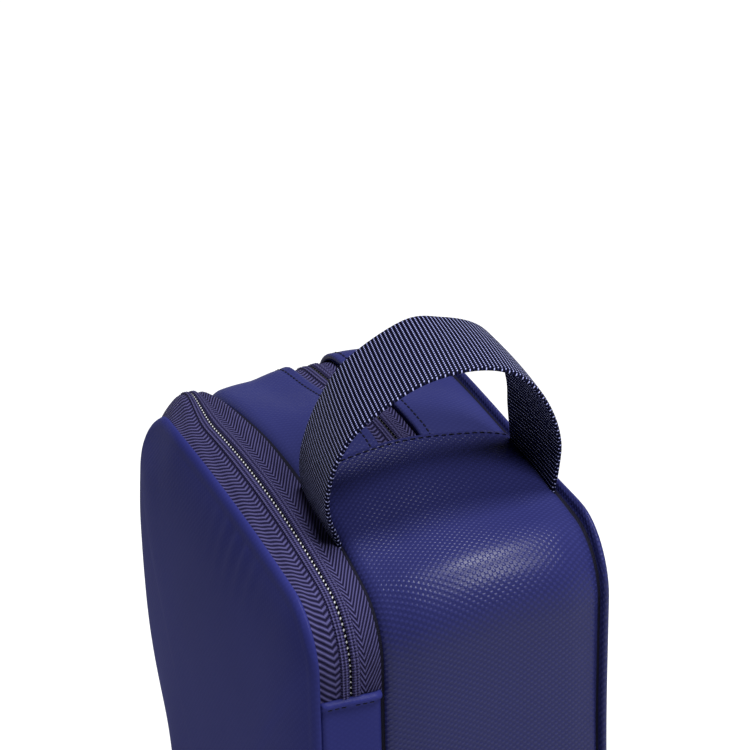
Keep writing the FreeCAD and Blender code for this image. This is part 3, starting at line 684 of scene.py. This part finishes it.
SEAM_GAP = 0.9
PANEL_THICK = 1.8
STRIP_THICK = 1.6
TOPSTITCH = 3.6
EDGE_ROLL = 5.0
EDGE_DEPTH = 3.4
FOLD_PROUD = 0.9
HOLLOW_X, HOLLOW_DEPTH, HOLLOW_SPREAD = 63.0, 3.2, 17
SWELL_PAST, SWELL_HEIGHT, SWELL_SPREAD = 42, 1.6, 18  # past the hollow the cloth stands full
FAR_FOLD_Z = FAR_SEAM_Z + 3
POCKET_FRONT = POCKET_Y - POCKET_FOLD
POCKET_BACK = POCKET_Y + POCKET_FOLD


def seam_roll(y, front=True, back=True):
    """The gusset's cloth rolls down into its front and back seams and stands full between."""
    height = np.zeros_like(y)
    for used, distance in ((front, y - SEAM_FRONT - SEAM_GAP),
                           (back, SEAM_BACK - SEAM_GAP - y)):
        if used:
            height += rolled(distance, EDGE_ROLL, EDGE_DEPTH) + 1.2 * smooth(distance / 16) - 0.6
    return height


def unevenness(s, y, size=0.35):
    """Slow waves in loose cloth."""
    return size * (np.sin(s / 17 + y / 29) + 0.7 * np.sin(s / 41 - y / 13 + 1.7)
                   + 0.5 * np.sin(y / 7.5 + s / 53))


def near_rise(s, y):
    """Near panel: a folded edge at the cross seam, then a hollow over the shoulder."""
    fold = s - s_at_x(CROSS_X, y)
    height = seam_roll(y) + unevenness(s, y)
    height += FOLD_PROUD * (1 - smooth((fold - 3) / 7)) + rolled(fold, 0.9, 0.9)
    inner = smooth((y - SEAM_FRONT) / 22) * smooth((SEAM_BACK - y) / 22)
    height -= HOLLOW_DEPTH * np.exp(-((s - HOLLOW_X) / HOLLOW_SPREAD) ** 2) * inner
    height += SWELL_HEIGHT * np.exp(-((s - HOLLOW_X - SWELL_PAST) / SWELL_SPREAD) ** 2) * inner
    return height


def strip_rise(sign):
    """Height of a strip beside the pocket's zip; sign is the side of the zip it lies on."""
    def rise(s, y):
        fold = sign * (y - POCKET_Y) - POCKET_FOLD
        height = seam_roll(y, sign < 0, sign > 0) + 0.6 * unevenness(s, y)
        height += rolled(fold, 1.1, 1.1) - 0.35 * np.exp(-((fold - 4) / 1.0) ** 2)
        tucked = smooth((s_at_x(CROSS_X, y) + 1 - s) / 12)
        return height - 1.3 * (1 - tucked)
    return rise


def gusset():
    """Near panel over its corner, two strips beside the pocket, lower far panel and base."""
    full = (SEAM_FRONT + SEAM_GAP, SEAM_BACK - SEAM_GAP)
    near = band_patch("near_panel", (at_x(CROSS_X), foot()), full, near_rise, PANEL_THICK,
                      EMBOSSED)
    stood("side_panel_near", near, "bag")
    tucked = at_x(CROSS_X + 2.5)
    low = at_z(FAR_SEAM_Z, -1)
    for name, sign, y_range in (("zip_panel_front", -1, (full[0], POCKET_FRONT)),
                                ("zip_panel_back", 1, (POCKET_BACK, full[1]))):
        # the strips take the top's copy of the cloth, lightened with painted light
        strip = band_patch(name.replace("zip_panel", "pocket_strip"), (low, tucked), y_range,
                           strip_rise(sign), STRIP_THICK, EMBOSSED_TOP_LIT)
        stood(name, strip, "bag")

    def lower_rise(s, y):
        fold = s_at_z(FAR_FOLD_Z, y, -1) - s
        return (seam_roll(y) + unevenness(s, y) + rolled(fold, 0.9, 0.9)
                + FOLD_PROUD * (1 - smooth((fold - 3) / 7)))

    lower = band_patch("far_lower_panel", (foot(-1), at_z(FAR_FOLD_Z, -1)), full, lower_rise,
                       PANEL_THICK, EMBOSSED)
    stood("side_panel_far_lower", lower, "bag")
    around = band_patch("base_cloth", (past_foot, foot(-1)), full,
                        lambda s, y: rolled(np.minimum(y - full[0], full[1] - y), 4, 2.5),
                        PANEL_THICK, EMBOSSED)
    stood("base_panel", around, "bag")


def past_foot(y):
    """End of the near foot, reached over the far side."""
    return s_at_foot(y, 1) - 2 * lengths(y)[9]


def gusset_stitching():
    """Topstitching beside every folded edge of the gusset."""
    y = np.linspace(SEAM_FRONT + 3, SEAM_BACK - 3, 60)
    for name, where, shift in (("cross_seam", at_x(CROSS_X), TOPSTITCH),
                               ("far_seam", at_z(FAR_FOLD_Z, -1), -TOPSTITCH)):
        s = where(y) + shift
        rise = near_rise(s, y) if name == "cross_seam" else FOLD_PROUD + seam_roll(y)
        stitch_row("stitch_" + name, *outline_run(s, y, rise + 0.1), "bag")
    for name, sign in (("front", -1), ("back", 1)):
        depth = POCKET_Y + sign * (POCKET_FOLD + 4)
        s = np.linspace(s_at_z(FAR_SEAM_Z + 4, depth, -1), s_at_x(CROSS_X - 1, depth), 300)
        rise = strip_rise(sign)(s, depth + 0 * s) + 0.15
        stitch_row("stitch_pocket_" + name, *outline_run(s, depth, rise), "bag")


# ------------------------------------------------------------ zips

MAIN_PLANE, MAIN_BAND = -1.0, -0.1
POCKET_PLANE, POCKET_BAND = -2.7, -1.95
SLIT = 0.55
TAPE_THICK = 0.5
TAPE_STEP = (2.4, 0.45)
TAPE_ROWS = (1.9, 3.4)  # stitch rows beside the slit
TAPE_STITCH = (1.5, 2.4, 0.2)  # length, pitch and radius of a tape's stitches
COIL_PITCH = 2.5
COIL_SUNK = 0.75
COIL_ACROSS, COIL_DEEP, COIL_WIRE = 1.8, 0.6, 0.42
COIL_MESH = 0.3  # how far the heads of the two halves pass each other


def tape_rise(centre, plane, band):
    """Height of a zip tape: flat, then a raised band over the coil that ends at the slit."""
    def rise(s, y):
        distance = np.abs(y - centre)
        height = plane + (band - plane) * (1 - smooth((distance - BAND_HALF + 0.9) / 1.2))
        lip = rolled(distance - SLIT, 0.5, 0.45)
        edge = 0.25 * np.sin(s / 9 + y) * smooth((distance - 6) / 4)
        return height + lip + edge
    return rise


def coil(name, s_range, centre, side, height, material, floor=0.0):
    """Half of a nylon coil: a flattened helix whose heads meet the other half at the centre."""
    turns = int((s_range[1] - s_range[0]) / COIL_PITCH)
    per_turn, sides = 8, 5
    t = np.arange(turns * per_turn + 1) / per_turn
    s = s_range[0] + COIL_PITCH * (t + (0.25 if side > 0 else -0.25))
    turn = 2 * math.pi * t
    y = centre + side * (COIL_ACROSS - COIL_MESH + COIL_ACROSS * np.cos(turn))
    centreline = settle(outline(s, y, height - COIL_DEEP + COIL_DEEP * np.sin(turn), floor))
    outward = settle(outline(s, y, height + 3, floor)) - centreline
    tangent = frames_along(centreline)
    a = np.cross(tangent, outward)
    a /= np.linalg.norm(a, axis=1)[:, None]
    b = np.cross(a, tangent)
    angle = np.arange(sides) * 2 * math.pi / sides
    ring = (a[:, None] * np.cos(angle)[None, :, None] + b[:, None] * np.sin(angle)[None, :, None])
    vertices = (centreline[:, None] + COIL_WIRE * ring).reshape(-1, 3)
    uv = np.stack([np.repeat(t + (0 if side > 0 else 0.5), sides), np.tile(angle, len(t))], -1)
    return new_object(name, vertices, grid_faces(len(t), sides, closed=True), material, uv)


def main_zip():
    """Both tapes and both coil halves, round the top, the far side and the underside."""
    high, low = at_z(ZIP_END_Z - 2), past_base(ZIP_LOW_END_Z + 2, TAPE_FLOOR)
    rise = tape_rise(ZIP_Y, MAIN_PLANE, MAIN_BAND)
    sides = (("bag", 1, (ZIP_Y + SLIT, SEAM_FRONT - 0.2), "body"),
             ("door", -1, (DOOR_Y + 0.2, ZIP_Y - SLIT), "door"))
    for body, side, y_range, ending in sides:
        tape = band_patch("main_tape_" + body, (low, high), y_range, rise, TAPE_THICK, MAIN_TAPE,
                          TAPE_STEP, TAPE_FLOOR, 0.0)
        stood("zip_tape_" + ending, tape, body)
        ends = float(low(ZIP_Y)), float(high(ZIP_Y))
        half = coil("main_coil_" + body, ends, ZIP_Y, side, MAIN_BAND - COIL_SUNK, COIL,
                    TAPE_FLOOR)
        stood("zip_coil_" + ending, half, body)
        for number, offset in enumerate(TAPE_ROWS):
            s = np.linspace(*ends, 1100)
            y = ZIP_Y + side * offset
            run = outline_run(s, y, MAIN_BAND + 0.02, TAPE_FLOOR)
            row = stitch_row(f"coil_stitch_{body}_{number}", *run, body, TAPE_THREAD, *TAPE_STITCH)


def pocket_zip():
    """Pocket's tapes and coil, from the cross seam over the far shoulder and down."""
    low, high = at_z(FAR_SEAM_Z - 5, -1), at_x(CROSS_X + 2)
    rise = tape_rise(POCKET_Y, POCKET_PLANE, POCKET_BAND)
    reach = POCKET_FOLD + 5
    for name, side, y_range in (("front", -1, (POCKET_Y - reach, POCKET_Y - SLIT)),
                                ("back", 1, (POCKET_Y + SLIT, POCKET_Y + reach))):
        tape = band_patch("pocket_band_" + name, (low, high), y_range, rise, TAPE_THICK,
                          POCKET_TAPE, TAPE_STEP, 0.0, 0.0)
        stood("pocket_tape_" + name, tape, "bag")
        ends = float(low(POCKET_Y)), float(high(POCKET_Y))
        half = coil("pocket_teeth_" + name, ends, POCKET_Y, side, POCKET_BAND - COIL_SUNK,
                    POCKET_COIL)
        stood("pocket_coil_" + name, half, "bag")
        for number, offset in enumerate(TAPE_ROWS):
            s = np.linspace(*ends, 500)
            run = outline_run(s, POCKET_Y + side * offset, POCKET_BAND + 0.02)
            row = stitch_row(f"pocket_stitch_{name}_{number}", *run, "bag", TAPE_THREAD,
                             *TAPE_STITCH)


END_LIP = 2.1  # the strip's hem stands over the zip's ends


def hinge_strip():
    """Cloth between the zip's two ends, where the door hinges."""
    high, low = at_z(ZIP_END_Z), at_z(ZIP_LOW_END_Z)

    def rise(s, y):
        ends = np.minimum(s - high(y), low(y) - s)
        height = END_LIP * (1 - smooth((ends - 2.4) / 1.3)) + rolled(ends, 1.3, 2.0)
        for edge in (y - DOOR_Y - 0.4, SEAM_FRONT - 0.4 - y):
            height = height + rolled(edge, 3.0, 2.2)
        return height - 0.3 + 0.35 * np.sin(s / 26) * np.sin((y - DOOR_Y) / 4.2)

    strip = band_patch("hinge_cloth", (high, low), (DOOR_Y + 0.4, SEAM_FRONT - 0.4), rise, 1.2,
                       SMOOTH, (1.8, 0.7))
    across_hinge(strip)
    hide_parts("hinge_strip_body", "hinge_strip_door")
    for name, where, shift in (("upper", high, 3.9), ("lower", low, -3.9)):
        for part, span, body in (("bag", (ZIP_Y + 0.6, SEAM_FRONT - 2.2), "bag"),
                                 ("door", (DOOR_Y + 2.2, ZIP_Y - 0.6), "door")):
            y = np.linspace(*span, 16)
            s = where(y) + shift
            stitch_row(f"stitch_zip_end_{name}_{part}", *outline_run(s, y, rise(s, y) + 0.1), body,
                       length=2.2, pitch=2.9)


def across_hinge(piece):
    """Bakes the strip's placement into its mesh; the strip is not made to bend round the hinge
    line.
    """
    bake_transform(piece)


def welts():
    """Turned-in cloth at the bottom of each seam's valley; its near-black binding colour is
    painted shade deep in the seams.
    """
    # painted shade: the near-black strips darken the bottom of each seam valley, the door's
    # included
    for name, y, body, node in (("front_valley", SEAM_FRONT, "bag", "front_seam_welt"),
                                ("back_valley", SEAM_BACK, "bag", "back_seam_welt"),
                                ("door_valley", DOOR_Y, "door", None)):
        welt = band_patch(name, ALL_ROUND, (y - 1.7, y + 1.7), lambda s, y: -2.3 + 0 * s, 2.5,
                          BINDING, (3.0, 1.1))
        if node:
            stood(node, welt, body)
        else:
            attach(welt, body)


# ------------------------------------------------------------ door and back panels

DOOR_FULL, DOOR_CROWN = 6.0, 1.6
BACK_FULL = 2.6
CREASE_X, CREASE_SPREAD, CREASE_PITCH = 28, 24, 11


def front_dome(x, z, d):
    """Padded door: full soon after its edge, with a few pull creases below its top edge."""
    height = DOOR_FULL * (1 - np.exp(-d / 16))
    height += DOOR_CROWN * (1 - (x / HALF_WIDTH) ** 2) * (1 - (2 * z / DOOR_TOP - 1) ** 2)
    height *= 1 - 0.75 * np.exp(-((x + HALF_WIDTH) / 45) ** 2 - ((z - DOOR_TOP) / 40) ** 2)
    height += (0.5 * np.sin(z / 37 + x / 61) + 0.4 * np.sin(x / 23 - z / 54)) * smooth(d / 30)
    top = smooth((z - 300) / 20)
    crease = np.exp(-((x - CREASE_X) / CREASE_SPREAD) ** 2 - d / 13)
    crease = crease * np.cos((x - CREASE_X + 0.25 * d) * 2 * math.pi / CREASE_PITCH)
    return height + 1.0 * top * crease * smooth(d / 3)


def back_dome(x, z, d):
    """Back panel: nearly flat, with slow slack waves."""
    slack = np.sin(z / 51) * np.sin(x / 43) + 0.5 * np.sin(z / 27 + x / 35)
    return BACK_FULL * (1 - np.exp(-d / 18)) + 0.6 * slack * smooth(d / 30)


def quarter_roll(base_y, outward, depth, radius, crest):
    """(inset, y) rows of a panel's edge: out of the seam, over its crest and onto the face."""
    rows = [(depth, base_y - outward * 0.8), (depth * 0.5 - crest * 0.2, base_y - outward * 0.5)]
    for turn in np.linspace(0, math.pi / 2, 7):
        inset = radius * (1 - math.cos(turn)) - crest
        rows.append((inset, base_y + outward * (0.2 + radius * 0.75 * math.sin(turn))))
    return rows


def panels():
    """Door cover over its foam and stiffener, and back cover over its foam."""
    front = cap("front_cover", DOOR_Y, -1, quarter_roll(DOOR_Y, -1, 2.2, 4.5, 0.2), front_dome,
                3.5, SMOOTH)
    stood(["front_panel", "front_foam", "front_stiffener"], front, "door")
    back = cap("back_cover", SEAM_BACK + 1.4, 1, quarter_roll(SEAM_BACK + 1.0, 1, 2.2, 2.6, 1.2),
               back_dome, 3.0, EMBOSSED)
    stood(["back_panel", "back_foam"], back, "bag")


# ------------------------------------------------------------ handle

# (y, z) of the strap's two edges from the front seam, over the arch, to the back seam
FAR_EDGE = [(-33.7, 338), (-33.5, 349), (-34, 358), (-32, 370), (-25, 386), (-13, 401), (11, 413),
            (27, 411), (42, 404.5), (51.5, 392), (55.5, 378), (56, 366), (56.8, 355), (57.4, 347),
            (57.6, 338)]
NEAR_EDGE = [(-33.7, 332), (-34, 343), (-38, 356), (-38, 368), (-33, 382), (-23, 394), (-1, 406),
             (20, 409), (37, 405.5), (49, 396), (57, 382), (60.5, 368), (59.5, 356), (57.6, 346),
             (57.6, 336)]
STRAP_HALF = 1.0
STRAP_CROWN = 0.8
SELVEDGE = 1.3


def smooth_run(points, count):
    """Catmull-Rom curve through points, resampled evenly."""
    p = np.array(points, float)
    p = np.concatenate([[2 * p[0] - p[1]], p, [2 * p[-1] - p[-2]]])
    fine = []
    for a, b, c, d in zip(p, p[1:], p[2:], p[3:]):
        t = np.linspace(0, 1, 24, endpoint=False)[:, None]
        fine.append(0.5 * (2 * b + (c - a) * t + (2 * a - 5 * b + 4 * c - d) * t * t
                           + (3 * b - a - 3 * c + d) * t ** 3))
    fine = np.concatenate(fine + [p[-2:-1]])
    run = np.concatenate([[0], np.cumsum(np.linalg.norm(np.diff(fine, axis=0), axis=1))])
    at = np.linspace(0, run[-1], count)
    return np.stack([np.interp(at, run, fine[:, k]) for k in range(2)], -1), run[-1]


def strap():
    """Webbing strap: one strip from seam to seam, with a rounded selvedge at each edge."""
    rows, columns = 170, 26
    far, length = smooth_run(FAR_EDGE, rows)
    near, _ = smooth_run(NEAR_EDGE, rows)
    w = spaced(1.0, 1.0 / columns, 0.8)
    width = ROOT_HIGH[0] - ROOT_LOW[0]
    middle = np.zeros((rows, len(w), 3))
    middle[..., 0] = ROOT_LOW[0] + width * w
    middle[..., 1:] = far[:, None] * (1 - w)[None, :, None] + near[:, None] * w[None, :, None]
    along = np.gradient(middle, axis=0)
    across = np.gradient(middle, axis=1)
    out = np.cross(along, across)
    out /= np.linalg.norm(out, axis=2)[..., None]
    if out[rows // 2, 0, 2] < 0:
        out = -out
    edge = np.minimum(w, 1 - w) * width
    half = STRAP_HALF * np.sqrt(np.clip(1 - (1 - edge / SELVEDGE).clip(0) ** 2, 0.02, 1))
    crown = STRAP_CROWN * np.sin(math.pi * w)
    outer = middle + out * (crown + half)[None, :, None]
    inner = middle + out * (crown - half)[None, :, None]
    down = np.linspace(0, length, rows)[:, None]
    uv = np.stack(np.broadcast_arrays(w[None, :] * width, down), -1)
    webbing = slab("strap", outer, inner, uv, WEBBING)
    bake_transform(webbing)
    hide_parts("handle_webbing", "handle_root_front", "handle_root_back")


# ------------------------------------------------------------ inside

LINING_RISE, LINING_THICK = -5.2, 0.6
BEAD_RISE, BEAD_HIGH, BEAD_THICK = -4.9, 1.6, 0.8
POUCH_POWER = 0.28  # how square the pouch's corners are


def linings():
    """Loose lining on the gusset and on both panels, and the binding over the seams."""
    inside = (SEAM_FRONT + 1.5, SEAM_BACK - 1.5)
    tube = band_patch("gusset_inside", ALL_ROUND, inside,
                      lambda s, y: LINING_RISE + 0.8 * unevenness(s, y), LINING_THICK,
                      LINING, (5.0, 3.0))
    stood("gusset_lining", tube, "bag")
    for name, y, outward, node, body in (
            ("back_inside", SEAM_BACK - 4.2, 1, "back_lining", "bag"),
            ("door_inside", DOOR_Y + 6.2, -1, "front_lining", "door")):
        face = cap(name, y, outward, [(4.6, y), (5.0, y)],
                   lambda x, z, d: 0.5 * np.sin(x / 19) * np.sin(z / 23), LINING_THICK, LINING,
                   5.0, body == "door")
        stood(node, face, body)

    def bead(centre, half):
        return lambda s, y: BEAD_RISE - BEAD_HIGH + BEAD_HIGH * ((y - centre) / half) ** 2

    for name, centre, half, node, body in (
            ("front_bead", SEAM_FRONT + 5.0, 4.0, "front_seam_binding", "bag"),
            ("back_bead", SEAM_BACK - 7.5, 4.0, "back_seam_binding", "bag"),
            ("door_bead", DOOR_Y + 4.0, 2.4, "front_panel_binding", "door")):
        tape = band_patch(name, ALL_ROUND, (centre - half, centre + half), bead(centre, half),
                          BEAD_THICK, BINDING, (4.0, 1.0), with_cover=body == "door")
        stood(node, tape, body)


def pouch():
    """Slack pouch that hangs inside the far side, behind the pocket's zip."""
    low, high = box_mm("pocket_pouch")
    centre, size = (low + high) / 2, (high - low) / 2
    rows, columns = 40, 64
    angle = np.linspace(0, 2 * math.pi, columns, endpoint=False)
    shares = np.linspace(0.0, 1.0, rows)
    c, sn = np.cos(angle), np.sin(angle)
    rim_y = size[1] * np.sign(c) * np.abs(c) ** POUCH_POWER
    rim_z = size[2] * np.sign(sn) * np.abs(sn) ** POUCH_POWER
    grid = np.zeros((rows, columns, 3))
    for k, t in enumerate(shares):
        shrink = 1 - 0.97 * smooth((t - 0.45) / 0.55) if t > 0.45 else 1.0
        depth = smooth(t / 0.55)
        grid[k, :, 0] = low[0] + 0.6 + (2 * size[0] - 1.2) * depth * (0.92 + 0.08 * shrink)
        grid[k, :, 1] = centre[1] + rim_y * shrink
        grid[k, :, 2] = centre[2] + rim_z * shrink
    grid[..., 0] -= 1.6 * np.sin(grid[..., 1] / 9) * np.sin(grid[..., 2] / 21) * smooth(
        shares * 2)[:, None]
    faces = grid_faces(rows, columns, closed=True)
    faces.append(tuple((rows - 1) * columns + k for k in range(columns)))
    bag = new_object("pouch_cloth", grid.reshape(-1, 3), faces, LINING)
    solid = bag.modifiers.new("thickness", "SOLIDIFY")
    solid.thickness = 0.8 * MM
    stood("pocket_pouch", bag, "bag")


def hardware():
    """Rigid pieces keep their own shapes and take their finishes."""
    finishes = {"base_board": BOARD, "zip_slider_upper": ENAMEL, "zip_slider_lower": ENAMEL,
                "pocket_slider": ENAMEL, "zip_pull_upper": PULL, "zip_pull_lower": PULL,
                "pocket_pull": PULL}
    for node, material in finishes.items():
        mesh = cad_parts[node].data
        mesh.materials.clear()
        mesh.materials.append(material)


# ------------------------------------------------------------ studio

VIEW_AZIMUTH = math.radians(21.1)
VIEW_ELEVATION = math.radians(28.5)
VIEW_ROLL = math.radians(-1.3)
VIEW_DISTANCE = 1.8242
LENS = 217.2
AIM_RIGHT, AIM_UP = 0.0366, 0.0339
SENSOR = 36.0
WORLD_STRENGTH = 0.07
SUN_ENERGY = 3.4
SUN_ANGLE = math.radians(18)
SUN_DIRECTION = (0.08, -0.15, -1)
KEY_PLACE, KEY_AIM = (0.38, 0.15, 0.92), (0, 0, 0.33)
KEY_SIZE, KEY_POWER = (0.25, 0.25), 4.3
FLOOR_HALF = 30.0


def camera():
    """View from the near side and above; the front seam's apex sets where it stands."""
    ca, sa = math.cos(VIEW_AZIMUTH), math.sin(VIEW_AZIMUTH)
    ce, se = math.cos(VIEW_ELEVATION), math.sin(VIEW_ELEVATION)
    forward = Vector((-ce * ca, ce * sa, -se))
    level = forward.cross(Vector((0, 0, 1))).normalized()
    upright = level.cross(forward)
    cr, sr = math.cos(VIEW_ROLL), math.sin(VIEW_ROLL)
    right = level * cr + upright * sr
    up = upright * cr - level * sr
    apex = Vector((0, SEAM_FRONT, SEAM_TOP)) * MM
    place = apex - forward * VIEW_DISTANCE + right * AIM_RIGHT + up * AIM_UP
    data = bpy.data.cameras.new("camera")
    data.lens = LENS
    data.sensor_width = SENSOR
    data.clip_end = 50.0
    made = bpy.data.objects.new("camera", data)
    bpy.context.scene.collection.objects.link(made)
    turned = Matrix((right, up, -forward)).transposed().to_4x4()
    made.matrix_world = Matrix.Translation(place) @ turned
    bpy.context.scene.camera = made


def area_light(name, place, aim, size, power):
    data = bpy.data.lights.new(name, "AREA")
    data.shape = "RECTANGLE"
    data.size, data.size_y = size
    data.energy = power
    made = bpy.data.objects.new(name, data)
    bpy.context.scene.collection.objects.link(made)
    made.location = place
    made.rotation_euler = (Vector(aim) - Vector(place)).to_track_quat("-Z", "Y").to_euler()


def studio():
    """Pale floor under one soft lamp overhead, with a weaker key from the near side."""
    world = bpy.data.worlds.new("studio")
    bpy.context.scene.world = world
    world.use_nodes = True
    background = world.node_tree.nodes["Background"]
    background.inputs["Color"].default_value = (1.0, 1.0, 1.0, 1.0)
    background.inputs["Strength"].default_value = WORLD_STRENGTH
    data = bpy.data.lights.new("overhead", "SUN")
    data.energy = SUN_ENERGY
    data.angle = SUN_ANGLE
    overhead = bpy.data.objects.new("overhead", data)
    bpy.context.scene.collection.objects.link(overhead)
    overhead.rotation_euler = Vector(SUN_DIRECTION).to_track_quat("-Z", "Y").to_euler()
    area_light("key", KEY_PLACE, KEY_AIM, KEY_SIZE, KEY_POWER)
    signs = ((-1, -1), (1, -1), (1, 1), (-1, 1))
    corners = [(sx * FLOOR_HALF, sy * FLOOR_HALF, 0) for sx, sy in signs]
    floor = new_object("floor", np.array(corners) / MM, [(0, 1, 2, 3)], floor_finish())
    settings = bpy.context.scene.view_settings
    settings.view_transform = "Standard"
    settings.exposure = 0.0


def floor_finish():
    sh = Shader("floor_paper")
    colour = sh.mix(sh.noise(6.0, 2.0), rgb(0.92, 0.92, 0.92), rgb(0.95, 0.95, 0.95))
    return sh.finish(colour, 0.9, sh.bump(sh.noise(300.0, 2.0), 0.02))


# ------------------------------------------------------------ build

camera()
studio()
gusset()
gusset_stitching()
main_zip()
pocket_zip()
hinge_strip()
welts()
panels()
strap()
linings()
pouch()
hardware()
